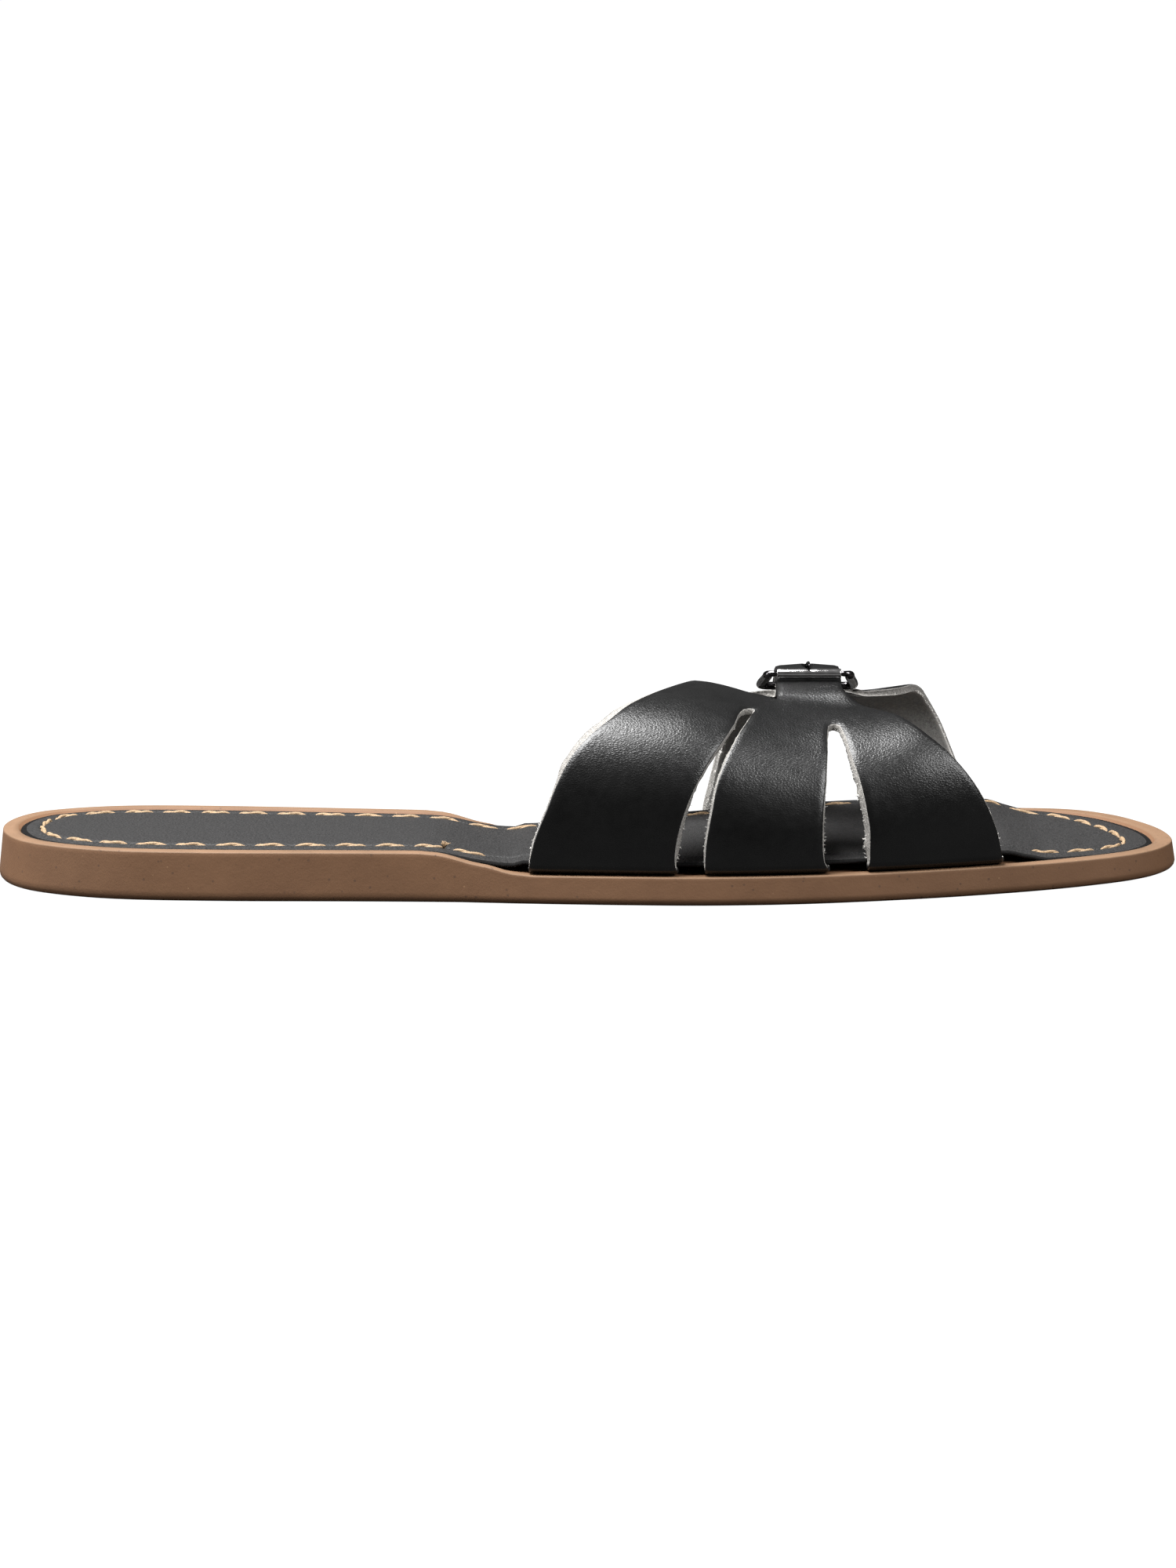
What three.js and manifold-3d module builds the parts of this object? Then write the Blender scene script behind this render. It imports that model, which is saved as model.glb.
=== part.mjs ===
// Right slide sandal, size about 245 mm foot: rubber sole, leather insole,
// two slotted leather panels joined by a roller buckle. Millimetres, +Z up,
// +X to the toe, +Y to the inner side of the foot.
// A station is the distance from the heel end, and a rise is the distance
// over the leather from the edge of the sole, up and over the foot.
import * as THREE from 'three';
import { mergeVertices } from 'three/addons/utils/BufferGeometryUtils.js';
import Module from 'manifold-3d';

const wasm = await Module();
wasm.setup();

// Driving sizes
const LENGTH = 260.3;
const HEEL_HEIGHT = 10.75;
const FOREFOOT_HEIGHT = 6.2;
const TOE_HEIGHT = 5.9;
const TOE_SPRING = 1.4;
const SPRING_START = 222;
const SOLE_DRAFT = 0.09;
const SOLE_ROUND = 1.3;
const RECESS_DEPTH = 1.3;
const GAP = 0.3;
const INSOLE_THICKNESS = 1.1;
const LEATHER = 1.8;
const LEATHER_SKIVED = 1.3;
const WALL_INSET = 0.5;
const TURN_RADIUS = 2.0;
const MARGIN_LENGTH = 9;
const STRAP_CENTRE = 178.9;
const STRAP_HALF = 7;
const BAR = { y: 13, z: 40.6, radius: 0.9 };
const ROLLER = { y: 1, z: 45.1, radius: 1.12, bore: 0.85, length: 14.2 };
const AXLE_RADIUS = 0.55;
const PRONG_RADIUS = 0.7;
const FRAME_HALF_WIDTH = 9.1;
const AXLE_CORNER = 1.6;
const BAR_CORNER = 1.6;
const PRONG_SLOT = 2.6;
const HOLE = { y: 11.7, length: 5.8 };
const FOLD_SLOT = { y: 12.4, length: 9.6 };

// Plan of the sole's top edge: lateral and medial distance from the heel line
const SOLE_PLAN = [
  { station: 0, lateral: 2.5, medial: 2.5 },
  { station: 5, lateral: -15.4, medial: 19.2 },
  { station: 14, lateral: -23.6, medial: 25.8 },
  { station: 28, lateral: -29.3, medial: 29.2 },
  { station: 50, lateral: -31.6, medial: 28.3 },
  { station: 80, lateral: -32.2, medial: 24.9 },
  { station: 100, lateral: -33.0, medial: 22.3 },
  { station: 115, lateral: -35.0, medial: 20.4 },
  { station: 135, lateral: -36.8, medial: 27.3 },
  { station: 155, lateral: -37.6, medial: 37.6 },
  { station: 175, lateral: -36.0, medial: 46.6 },
  { station: 193, lateral: -32.2, medial: 52.0 },
  { station: 210, lateral: -27.2, medial: 53.6 },
  { station: 228, lateral: -20.4, medial: 52.8 },
  { station: 241, lateral: -15.2, medial: 49.6 },
  { station: 250, lateral: -11.0, medial: 40.3 },
  { station: 256, lateral: -5.9, medial: 27.8 },
  { station: LENGTH, lateral: 6.0, medial: 6.0 },
];

// Height of the sole's top edge, depth of its recess, height of the insole
const SOLE_SIDE = [
  { station: 0, edge: HEEL_HEIGHT, recess: RECESS_DEPTH, rim: 3.7 },
  { station: 93, edge: HEEL_HEIGHT, recess: RECESS_DEPTH, rim: 3.7 },
  { station: 97, edge: 10.45, recess: 1.2, rim: 3.5 },
  { station: 107, edge: 8.2, recess: 0.6, rim: 3.1 },
  { station: 114, edge: 6.55, recess: 0, rim: 2.9 },
  { station: 118, edge: FOREFOOT_HEIGHT, recess: 0, rim: 2.9 },
  { station: 221, edge: FOREFOOT_HEIGHT, recess: 0, rim: 2.9 },
  { station: 232, edge: 6.1, recess: 1.0, rim: 3.6 },
  { station: 242, edge: 6.0, recess: RECESS_DEPTH, rim: 4.2 },
  { station: LENGTH, edge: TOE_HEIGHT, recess: RECESS_DEPTH, rim: 4.2 },
];
const INSOLE_SIDE = [
  { station: 0, lift: 0 },
  { station: 109, lift: 0 },
  { station: 113.5, lift: 0.5 },
  { station: 116.4, lift: 1.55 },
  { station: 124, lift: 1.58 },
  { station: 217, lift: 1.58 },
  { station: 222, lift: 1.6 },
  { station: 226.5, lift: 0.8 },
  { station: 231, lift: 0.1 },
  { station: 238, lift: 0 },
  { station: LENGTH, lift: 0 },
];

// The last across the foot: crown place and height, squareness of each side
const LAST_SECTIONS = [
  { station: 105, crownY: -4.5, crownZ: 43.6, lateralPower: 3.0, medialPower: 2.6 },
  { station: 135, crownY: -3.0, crownZ: 43.8, lateralPower: 3.1, medialPower: 2.5 },
  { station: 150, crownY: -1.0, crownZ: 43.6, lateralPower: 3.0, medialPower: 2.4 },
  { station: 158, crownY: 0.5, crownZ: 43.0, lateralPower: 2.8, medialPower: 2.3 },
  { station: 168, crownY: 2.0, crownZ: 41.4, lateralPower: 2.6, medialPower: 2.2 },
  { station: 180, crownY: 3.5, crownZ: 40.5, lateralPower: 2.5, medialPower: 2.2 },
  { station: 192, crownY: 5.0, crownZ: 39.8, lateralPower: 2.9, medialPower: 2.5 },
  { station: 203, crownY: 6.0, crownZ: 39.9, lateralPower: 3.4, medialPower: 3.2 },
  { station: 225, crownY: 9.0, crownZ: 39.2, lateralPower: 3.8, medialPower: 3.5 },
];
const LAST_BASE = 6.5;

// Outline of each panel: station of each cut edge at each rise
const LATERAL_CUT = [
  { rise: 0, rear: 117.2, slot1Rear: 149.4, slot1Front: 155.4, slot2Rear: 182.3, slot2Front: 190.7, front: 220.8 },
  { rise: 3, rear: 117.4, slot1Rear: 148.7, slot1Front: 155.3, slot2Rear: 181.1, slot2Front: 191.2, front: 220.3 },
  { rise: 8, rear: 118.6, slot1Rear: 149.2, slot1Front: 155.7, slot2Rear: 180.8, slot2Front: 191.2, front: 219.1 },
  { rise: 14, rear: 121.0, slot1Rear: 150.9, slot1Front: 156.8, slot2Rear: 181.0, slot2Front: 190.4, front: 216.6 },
  { rise: 20, rear: 123.4, slot1Rear: 153.4, slot1Front: 158.0, slot2Rear: 181.5, slot2Front: 189.1, front: 213.0 },
  { rise: 26, rear: 126.5, slot1Rear: 156.7, slot1Front: 160.1, slot2Rear: 181.9, slot2Front: 187.4, front: 208.2 },
  { rise: 31, rear: 130.4, slot1Rear: 159.6, slot1Front: 162.2, slot2Rear: 182.2, slot2Front: 186.2, front: 203.8 },
  { rise: 36, rear: 135.0, slot1Rear: 162.0, slot1Front: 164.1, slot2Rear: 182.9, slot2Front: 184.6, front: 200.2 },
  { rise: 41, rear: 138.6, slot1Rear: 164.2, slot1Front: 165.8, slot2Rear: 183.0, slot2Front: 183.0, front: 197.0 },
  { rise: 46, rear: 142.4, slot1Rear: 169.0, slot1Front: 169.0, slot2Rear: 181.9, slot2Front: 181.9, front: 193.0 },
  { rise: 50, rear: 145.0, slot1Rear: 171.9, slot1Front: 171.9, slot2Rear: 181.0, slot2Front: 181.0, front: 188.3 },
  { rise: 55, rear: 147.8, slot1Rear: 171.9, slot1Front: 171.9, slot2Rear: 181.0, slot2Front: 181.0, front: 185.9 },
  { rise: 61, rear: 150.7, slot1Rear: 171.9, slot1Front: 171.9, slot2Rear: 181.0, slot2Front: 181.0, front: 185.9 },
  { rise: 67, rear: 153.6, slot1Rear: 171.9, slot1Front: 171.9, slot2Rear: 181.0, slot2Front: 181.0, front: 185.9 },
];
const MEDIAL_CUT = [
  { rise: 0, rear: 120.8, slot1Rear: 149.7, slot1Front: 156.0, slot2Rear: 182.2, slot2Front: 192.2, front: 220.6 },
  { rise: 3, rear: 121.0, slot1Rear: 149.2, slot1Front: 156.2, slot2Rear: 181.3, slot2Front: 192.2, front: 219.0 },
  { rise: 8, rear: 121.8, slot1Rear: 150.0, slot1Front: 157.4, slot2Rear: 181.0, slot2Front: 191.3, front: 216.2 },
  { rise: 14, rear: 124.0, slot1Rear: 152.0, slot1Front: 158.8, slot2Rear: 181.2, slot2Front: 190.3, front: 213.7 },
  { rise: 20, rear: 128.4, slot1Rear: 154.5, slot1Front: 160.3, slot2Rear: 181.6, slot2Front: 188.9, front: 211.4 },
  { rise: 26, rear: 134.5, slot1Rear: 157.5, slot1Front: 162.3, slot2Rear: 182.0, slot2Front: 187.5, front: 208.9 },
  { rise: 31, rear: 139.5, slot1Rear: 160.5, slot1Front: 164.0, slot2Rear: 182.6, slot2Front: 186.0, front: 207.2 },
  { rise: 36, rear: 147.5, slot1Rear: 163.5, slot1Front: 165.6, slot2Rear: 183.9, slot2Front: 184.5, front: 205.9 },
  { rise: 41, rear: 154.5, slot1Rear: 168.2, slot1Front: 168.2, slot2Rear: 182.6, slot2Front: 182.6, front: 204.0 },
  { rise: 44.6, rear: 161.0, slot1Rear: 171.9, slot1Front: 171.9, slot2Rear: 181.8, slot2Front: 181.8, front: 201.3 },
  { rise: 47.1, rear: 161.0, slot1Rear: 171.9, slot1Front: 171.9, slot2Rear: 181.2, slot2Front: 181.2, front: 196.8 },
  { rise: 48.8, rear: 161.0, slot1Rear: 171.9, slot1Front: 171.9, slot2Rear: 181.0, slot2Front: 181.0, front: 187.6 },
  { rise: 50, rear: 161.0, slot1Rear: 171.9, slot1Front: 171.9, slot2Rear: 181.0, slot2Front: 181.0, front: 185.9 },
  { rise: 55, rear: 161.0, slot1Rear: 171.9, slot1Front: 171.9, slot2Rear: 181.0, slot2Front: 181.0, front: 185.9 },
];

// Each panel: its side, where its strap leaves the last, and how far its
// slots and its rear lobe reach over the foot
const LATERAL_PANEL = {
  cut: LATERAL_CUT, side: 'lateral', rootY: -9.8, rootRow: 50, rootPast: 4,
  slot1Top: 42.2, slot2Top: 36.9, lobeRow: 48.8, lobeRise: 66, lobeBulge: 13, blendWidth: 7, strapStep: 2.6,
};
const MEDIAL_PANEL = {
  cut: MEDIAL_CUT, side: 'medial', rootY: 22, rootRow: 50, rootPast: 7,
  slot1Top: 38.4, slot2Top: 36.6, lobeRow: 44.6, lobeRise: 43.2, lobeBulge: 3, blendWidth: 4, strapStep: 1.25,
};

// Path of the tab's outer face: under the roller, over the bar, then a tail
const TAB_PATH = [
  { y: -9.8, z: 40.1 }, { y: -7, z: 41.0 }, { y: -3.8, z: 42.3 }, { y: 1, z: 43.65 }, { y: 6, z: 44.5 },
  { y: 12, z: 45.2 }, { y: 16.5, z: 44.5 }, { y: 20.5, z: 42.8 }, { y: 25, z: 41.0 }, { y: 30, z: 39.2 },
  { y: 34, z: 37.3 }, { y: 37.5, z: 35.3 },
];

// Prong from its hook, up through the hole and on to the roller
const PRONG_PIN = [
  { y: 12.8, z: 43.2 }, { y: 11.4, z: 44.4 }, { y: 9.6, z: 45.6 }, { y: 7, z: 46.5 }, { y: 4, z: 47.1 },
  { y: 1, z: 47.3 }, { y: -0.9, z: 47.2 },
];

const COLOURS = {
  rubber: { color: 0x6e543f, roughness: 0.75, metalness: 0 },
  insole: { color: 0x2b2b2d, roughness: 0.6, metalness: 0 },
  leather: { color: 0x1f1f1f, roughness: 0.5, metalness: 0 },
  nickel: { color: 0xb9bcc0, roughness: 0.2, metalness: 1 },
};

// Small maths

const mix = (a, b, t) => a + (b - a) * t;
const clamp01 = (t) => Math.min(1, Math.max(0, t));
const smooth = (t) => clamp01(t) ** 2 * (3 - 2 * clamp01(t));

// Smooth curve through the named column of a table, by its first column
function column(table, key, by, at) {
  const last = table.length - 1;
  let i = 0;
  while (i < last - 1 && by(table[i + 1]) < at) i += 1;
  const slope = (k) => {
    const lo = table[Math.max(0, k - 1)];
    const hi = table[Math.min(last, k + 1)];
    if (lo[key] === table[k][key] && k > 0 || hi[key] === table[k][key] && k < last) return 0;
    return (hi[key] - lo[key]) / (by(hi) - by(lo));
  };
  const a = table[i];
  const b = table[i + 1];
  const step = by(b) - by(a);
  const t = clamp01((at - by(a)) / step);
  const h = t * t * (3 - 2 * t);
  return mix(a[key], b[key], h)
    + step * (slope(i) * t * (1 - t) ** 2 - slope(i + 1) * t * t * (1 - t));
}

// Straight steps between the rows of a table
function level(table, key, station) {
  let i = 0;
  while (i < table.length - 2 && table[i + 1].station < station) i += 1;
  const t = clamp01((station - table[i].station) / (table[i + 1].station - table[i].station));
  return mix(table[i][key], table[i + 1][key], smooth(t) * 0.5 + t * 0.5);
}

// Plan of the sole

const byTurn = (row) => Math.acos(1 - 2 * row.station / LENGTH);
const turnOf = (station) => Math.acos(1 - 2 * clamp01(station / LENGTH));
const planEdge = (station, side) => column(SOLE_PLAN, side, byTurn, turnOf(station));
const spring = (station) => TOE_SPRING * clamp01((station - SPRING_START) / (LENGTH - SPRING_START)) ** 2;
const edgeHeight = (station) => level(SOLE_SIDE, 'edge', station) + spring(station);
const floorHeight = (station) => edgeHeight(station) - level(SOLE_SIDE, 'recess', station);
const insoleBottom = (station) => floorHeight(station) + GAP + level(INSOLE_SIDE, 'lift', station);

// Turns from heel to toe: even ones, and one at each step of the sole
const PLAN_STEPS = 42;
const STEP_STATIONS = [93, 97, 103, 109, 113.5, 116.4, 119, 218, 221.6, 226.5, 231];
function planTurns() {
  const turns = STEP_STATIONS.map(turnOf);
  for (let k = 0; k <= PLAN_STEPS; k += 1) {
    const turn = Math.PI * k / PLAN_STEPS;
    if (turns.every((other) => Math.abs(other - turn) > 0.02)) turns.push(turn);
  }
  return turns.sort((a, b) => a - b);
}
const TURNS = planTurns();

// Points round the plan, heel to toe on the lateral side and back, moved
// inward by the inset that the station asks for
function planLoop(inset, height) {
  const loop = [];
  const raw = [];
  const last = TURNS.length - 1;
  for (let k = 0; k < 2 * last; k += 1) {
    const lateral = k <= last;
    const turn = TURNS[lateral ? k : 2 * last - k];
    const station = LENGTH * (1 - Math.cos(turn)) / 2;
    raw.push({ station, y: column(SOLE_PLAN, lateral ? 'lateral' : 'medial', byTurn, turn) });
  }
  for (let k = 0; k < raw.length; k += 1) {
    const before = raw[(k + raw.length - 1) % raw.length];
    const after = raw[(k + 1) % raw.length];
    const along = new THREE.Vector2(after.station - before.station, after.y - before.y).normalize();
    const x = raw[k].station - along.y * inset(raw[k].station);
    const y = raw[k].y + along.x * inset(raw[k].station);
    loop.push([x, y, height(clamp01(x / LENGTH) * LENGTH)]);
  }
  return loop;
}

// Closed solid through a stack of loops, with its first and last closed by
// strips that run across from one side to the other
function stackSolid(loops) {
  const count = loops[0].length;
  const vertices = loops.flat(2);
  const faces = [];
  for (let r = 0; r + 1 < loops.length; r += 1) {
    for (let k = 0; k < count; k += 1) {
      const a = r * count + k;
      const b = r * count + (k + 1) % count;
      faces.push(a, b, b + count, a, b + count, a + count);
    }
  }
  const half = count / 2;
  const top = (loops.length - 1) * count;
  for (let k = 0; k < half; k += 1) {
    const across = (count - k) % count;
    const next = count - k - 1;
    if (k > 0) faces.push(across, k + 1, k, top + across, top + k, top + k + 1);
    if (k + 1 < half) faces.push(across, next, k + 1, top + across, top + k + 1, top + next);
  }
  return solidGeometry(vertices, faces);
}

function solidGeometry(vertices, faces) {
  const geometry = new THREE.BufferGeometry();
  geometry.setAttribute('position', new THREE.Float32BufferAttribute(vertices, 3));
  geometry.setIndex(faces);
  return geometry;
}

function outsoleGeometry() {
  const flare = (station) => -SOLE_DRAFT * edgeHeight(station);
  const rim = (station) => level(SOLE_SIDE, 'rim', station);
  const ground = (station) => spring(station);
  return stackSolid([
    planLoop((s) => flare(s) + SOLE_ROUND, ground),
    planLoop((s) => flare(s) + SOLE_ROUND * 0.3, (s) => ground(s) + SOLE_ROUND * 0.3),
    planLoop(flare, (s) => ground(s) + SOLE_ROUND),
    planLoop(() => 0, (s) => edgeHeight(s) - 0.3),
    planLoop(() => 0.3, edgeHeight),
    planLoop((s) => rim(s) - GAP, edgeHeight),
    planLoop(rim, floorHeight),
  ]);
}

function insoleGeometry() {
  const inset = (station) => level(SOLE_SIDE, 'rim', station) + GAP;
  const topOf = (station) => insoleBottom(station) + INSOLE_THICKNESS;
  return stackSolid([
    planLoop(inset, insoleBottom),
    planLoop(inset, (s) => topOf(s) - 0.3),
    planLoop((s) => inset(s) + 0.3, topOf),
  ]);
}

// Arch of the last at a station, from the side asked for, by length along it
const ARCH_STEPS = 96;
const arches = new Map();
function arch(station, side) {
  const name = `${side} ${station.toFixed(3)}`;
  if (arches.has(name)) return arches.get(name);
  const by = (row) => row.station;
  const value = (key) => column(LAST_SECTIONS, key, by, station);
  const crownY = value('crownY');
  const crownZ = value('crownZ');
  const halves = {
    lateral: { reach: crownY - planEdge(station, 'lateral') - WALL_INSET, power: value('lateralPower'), sign: -1 },
    medial: { reach: planEdge(station, 'medial') - WALL_INSET - crownY, power: value('medialPower'), sign: 1 },
  };
  const other = side === 'lateral' ? 'medial' : 'lateral';
  const points = [];
  for (let k = 0; k <= ARCH_STEPS; k += 1) {
    const angle = Math.PI * k / ARCH_STEPS;
    const { reach, power, sign } = halves[Math.cos(angle) > 0 ? side : other];
    const y = crownY + sign * reach * Math.abs(Math.cos(angle)) ** (2 / power);
    const z = LAST_BASE + (crownZ - LAST_BASE) * Math.sin(angle) ** (2 / power);
    points.push({ y, z });
  }
  const path = measured(points);
  arches.set(name, path);
  return path;
}

// A path of points with the length up to each one
function measured(points) {
  let length = 0;
  return points.map((point, k) => {
    if (k > 0) length += Math.hypot(point.y - points[k - 1].y, point.z - points[k - 1].z);
    return { ...point, length };
  });
}

function along(path, length) {
  let k = 0;
  while (k < path.length - 2 && path[k + 1].length < length) k += 1;
  const t = (length - path[k].length) / (path[k + 1].length - path[k].length);
  return { y: mix(path[k].y, path[k + 1].y, t), z: mix(path[k].z, path[k + 1].z, t) };
}

function smoothPath(points, steps) {
  const curve = new THREE.CatmullRomCurve3(points.map((p) => new THREE.Vector3(0, p.y, p.z)), false, 'centripetal');
  return measured(curve.getSpacedPoints(steps).map((p) => ({ y: p.y, z: p.z })));
}

// Outer face of the medial strap: up to the bar, round it and back underneath
function foldPath() {
  const radius = BAR.radius + GAP + LEATHER_SKIVED;
  const points = [{ y: 22, z: 38.3 }, { y: 19.6, z: 39.05 }, { y: 17, z: 40.35 }];
  for (let degrees = 50; degrees <= 270; degrees += 20) {
    const angle = THREE.MathUtils.degToRad(degrees);
    points.push({ y: BAR.y + radius * Math.cos(angle), z: BAR.z + radius * Math.sin(angle) });
  }
  points.push({ y: 16, z: 37.5 }, { y: 19, z: 36.0 }, { y: 22, z: 34.3 }, { y: 27, z: 31.9 });
  return smoothPath(points, 120);
}

const STRAP_PATHS = { lateral: smoothPath(TAB_PATH, 120), medial: foldPath() };

// Rise at which the last reaches a given place across the foot
function riseAt(station, side, y) {
  const path = arch(station, side);
  const sign = side === 'lateral' ? 1 : -1;
  let k = 0;
  while (k < path.length - 2 && sign * (path[k + 1].y - y) < 0) k += 1;
  const t = (y - path[k].y) / (path[k + 1].y - path[k].y);
  return mix(path[k].length, path[k + 1].length, t);
}

// Outer face of a panel at a station and a rise
function outerPoint(panel, station, rise) {
  const inward = panel.side === 'lateral' ? 1 : -1;
  const turnEnd = TURN_RADIUS * (1 - Math.PI / 2);
  const path = arch(station, panel.side);
  if (rise < TURN_RADIUS) {
    const wall = along(path, TURN_RADIUS);
    const angle = (TURN_RADIUS - Math.max(rise, turnEnd)) / TURN_RADIUS;
    const y = wall.y + inward * (TURN_RADIUS * (1 - Math.cos(angle)) + Math.max(0, turnEnd - rise));
    return new THREE.Vector3(station, y, wall.z - TURN_RADIUS * Math.sin(angle));
  }
  const onLast = along(path, rise);
  const past = rise - riseAt(station, panel.side, panel.rootY);
  const beside = Math.abs(station - STRAP_CENTRE) - STRAP_HALF;
  const weight = smooth(past / 5) * (1 - smooth(beside / panel.blendWidth));
  if (weight === 0) return new THREE.Vector3(station, onLast.y, onLast.z);
  const onStrap = along(STRAP_PATHS[panel.side], Math.max(0, past));
  return new THREE.Vector3(station, mix(onLast.y, onStrap.y, weight), mix(onLast.z, onStrap.z, weight));
}

function thicknessAt(panel, station, rise) {
  const past = rise - riseAt(station, panel.side, panel.rootY);
  const skived = panel.side === 'medial' ? smooth((past - 1) / 5) : 0;
  const margin = 1 - smooth((rise + 1) / 6);
  return mix(LEATHER, LEATHER_SKIVED, Math.max(skived, margin));
}

function innerPoint(panel, station, rise) {
  const d = 0.05;
  const place = outerPoint(panel, station, rise);
  const across = outerPoint(panel, station + d, rise).sub(outerPoint(panel, station - d, rise));
  const up = outerPoint(panel, station, rise + d).sub(outerPoint(panel, station, rise - d));
  const inward = up.cross(across).normalize();
  if (panel.side === 'medial') inward.negate();
  return place.addScaledVector(inward, thicknessAt(panel, station, rise));
}

// Rows up a panel and the cut edges that they cross
const MARGIN_ROWS = [-MARGIN_LENGTH, -4, TURN_RADIUS * (1 - Math.PI / 2), 0, 1.1, TURN_RADIUS];
const WALL_ROWS = [5, 8.5, 12, 15.5, 19, 22.5, 26, 29, 32, 34.5];
const LEG_COLUMNS = { rear: 6, middle: 4, front: 5 };

function rowsOf(panel) {
  const upper = [panel.slot2Top, panel.slot1Top, 44.6, 47.1, 48.8, panel.rootRow];
  return [...MARGIN_ROWS, ...WALL_ROWS, ...upper];
}

// The nominal row as a rise: near the strap it follows the strap's own length
function riseOfRow(panel, station, row) {
  const onStrap = riseAt(station, panel.side, panel.rootY) + panel.rootPast + row - panel.rootRow;
  return mix(row, onStrap, smooth((row - 37) / (panel.rootRow - 37)));
}

// Corner stations of a row, from the rear edge to the front edge
function cornersOfRow(panel, row) {
  const at = Math.max(0, row);
  const by = (line) => line.rise;
  const cut = (key) => column(panel.cut, key, by, at);
  const slot = (rear, front, top) => {
    if (row < top) return [cut(rear), cut(front)];
    const middle = (cut(rear) + cut(front)) / 2;
    return [middle, middle];
  };
  const first = slot('slot1Rear', 'slot1Front', panel.slot1Top);
  const second = slot('slot2Rear', 'slot2Front', panel.slot2Top);
  const lobe = smooth((row - 26) / (panel.lobeRow - 26));
  const rearRise = mix(row, panel.lobeRise, lobe);
  const rear = column(panel.cut, 'rear', by, Math.max(0, rearRise));
  return { rear, rearRise, first, second, front: cut('front'), lobe };
}

function panelSurface(panel) {
  const spots = [];
  const faces = [];
  const names = new Map();
  const spot = (station, rise) => {
    const name = `${station.toFixed(2)} ${rise.toFixed(2)}`;
    if (!names.has(name)) {
      names.set(name, spots.length);
      spots.push({ station, rise });
    }
    return names.get(name);
  };
  const lay = (grid) => {
    for (let r = 0; r + 1 < grid.length; r += 1) {
      for (let c = 0; c + 1 < grid[r].length; c += 1) {
        faces.push([grid[r][c], grid[r][c + 1], grid[r + 1][c + 1], grid[r + 1][c]]);
      }
    }
  };
  const legs = { rear: [], middle: [], front: [] };
  const strap = { middle: [], front: [] };
  rowsOf(panel).forEach((row) => {
    const { rear, rearRise, first, second, front, lobe } = cornersOfRow(panel, row);
    const line = (from, to, count, riseFor) => Array.from({ length: count + 1 }, (_, k) => {
      const station = mix(from, to, k / count);
      return spot(station, riseFor(station, k / count));
    });
    const plain = (station) => riseOfRow(panel, station, row);
    const edge = plain(first[0]);
    const lobed = (_, t) => mix(rearRise, edge, t) + panel.lobeBulge * lobe * t * (1 - t) ** 2;
    if (row <= panel.lobeRow) legs.rear.push(line(rear, first[0], LEG_COLUMNS.rear, lobed));
    legs.middle.push(line(first[1], second[0], LEG_COLUMNS.middle, plain));
    legs.front.push(line(second[1], front, LEG_COLUMNS.front, plain));
  });
  const length = STRAP_PATHS[panel.side].at(-1).length - panel.rootPast;
  const count = Math.round(length / panel.strapStep);
  for (let k = 0; k <= count; k += 1) {
    const row = panel.rootRow + length * k / count;
    const { first, second, front } = cornersOfRow(panel, row);
    const tip = smooth((row - panel.rootRow - length + 6) / 6) ** 2;
    const narrow = panel.side === 'lateral' ? 3.2 * tip : 0;
    const line = (from, to, steps) => Array.from({ length: steps + 1 }, (_, c) => {
      const station = mix(from, to, c / steps);
      return spot(station, riseOfRow(panel, station, row));
    });
    const middle = mix(second[0], STRAP_CENTRE + 1, tip);
    strap.middle.push(line(first[1] + narrow, middle, LEG_COLUMNS.middle));
    strap.front.push(line(middle, front - narrow, LEG_COLUMNS.front));
  }
  Object.values(legs).forEach(lay);
  Object.values(strap).forEach(lay);
  return { spots, faces };
}

// A surface given two faces and closed along every cut edge
function thicken({ spots, faces }, outer, inner) {
  const count = spots.length;
  const vertices = [...spots.map(outer), ...spots.map(inner)].flatMap((p) => [p.x, p.y, p.z]);
  const index = [];
  const open = new Map();
  faces.forEach((quad) => {
    const ring = quad.filter((v, k) => v !== quad[(k + 1) % quad.length]);
    for (let k = 1; k + 1 < ring.length; k += 1) {
      index.push(ring[0], ring[k], ring[k + 1]);
      index.push(ring[0] + count, ring[k + 1] + count, ring[k] + count);
    }
    ring.forEach((v, k) => {
      const w = ring[(k + 1) % ring.length];
      if (open.has(`${w} ${v}`)) open.delete(`${w} ${v}`);
      else open.set(`${v} ${w}`, [v, w]);
    });
  });
  open.forEach(([v, w]) => index.push(v, v + count, w + count, v, w + count, w));
  return solidGeometry(vertices, index);
}

function turnedOut(geometry) {
  const index = geometry.getIndex().array;
  const place = geometry.getAttribute('position');
  const [a, b, c] = [0, 1, 2].map(() => new THREE.Vector3());
  let volume = 0;
  for (let k = 0; k < index.length; k += 3) {
    a.fromBufferAttribute(place, index[k]);
    b.fromBufferAttribute(place, index[k + 1]);
    c.fromBufferAttribute(place, index[k + 2]);
    volume += a.dot(b.cross(c));
  }
  if (volume < 0) geometry.setIndex(Array.from(index).reverse());
  return geometry;
}

function toManifold(geometry) {
  const plain = geometry.clone();
  plain.deleteAttribute('normal');
  plain.deleteAttribute('uv');
  const merged = mergeVertices(plain, 1e-4);
  return new wasm.Manifold(new wasm.Mesh({
    numProp: 3,
    vertProperties: new Float32Array(merged.getAttribute('position').array),
    triVerts: new Uint32Array(merged.getIndex().array),
  }));
}

function fromManifold(solid) {
  const { vertProperties, triVerts } = solid.getMesh();
  return solidGeometry(Array.from(vertProperties), Array.from(triVerts));
}

function cutBy(geometry, cutter) {
  return fromManifold(toManifold(geometry).subtract(toManifold(cutter)));
}

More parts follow.
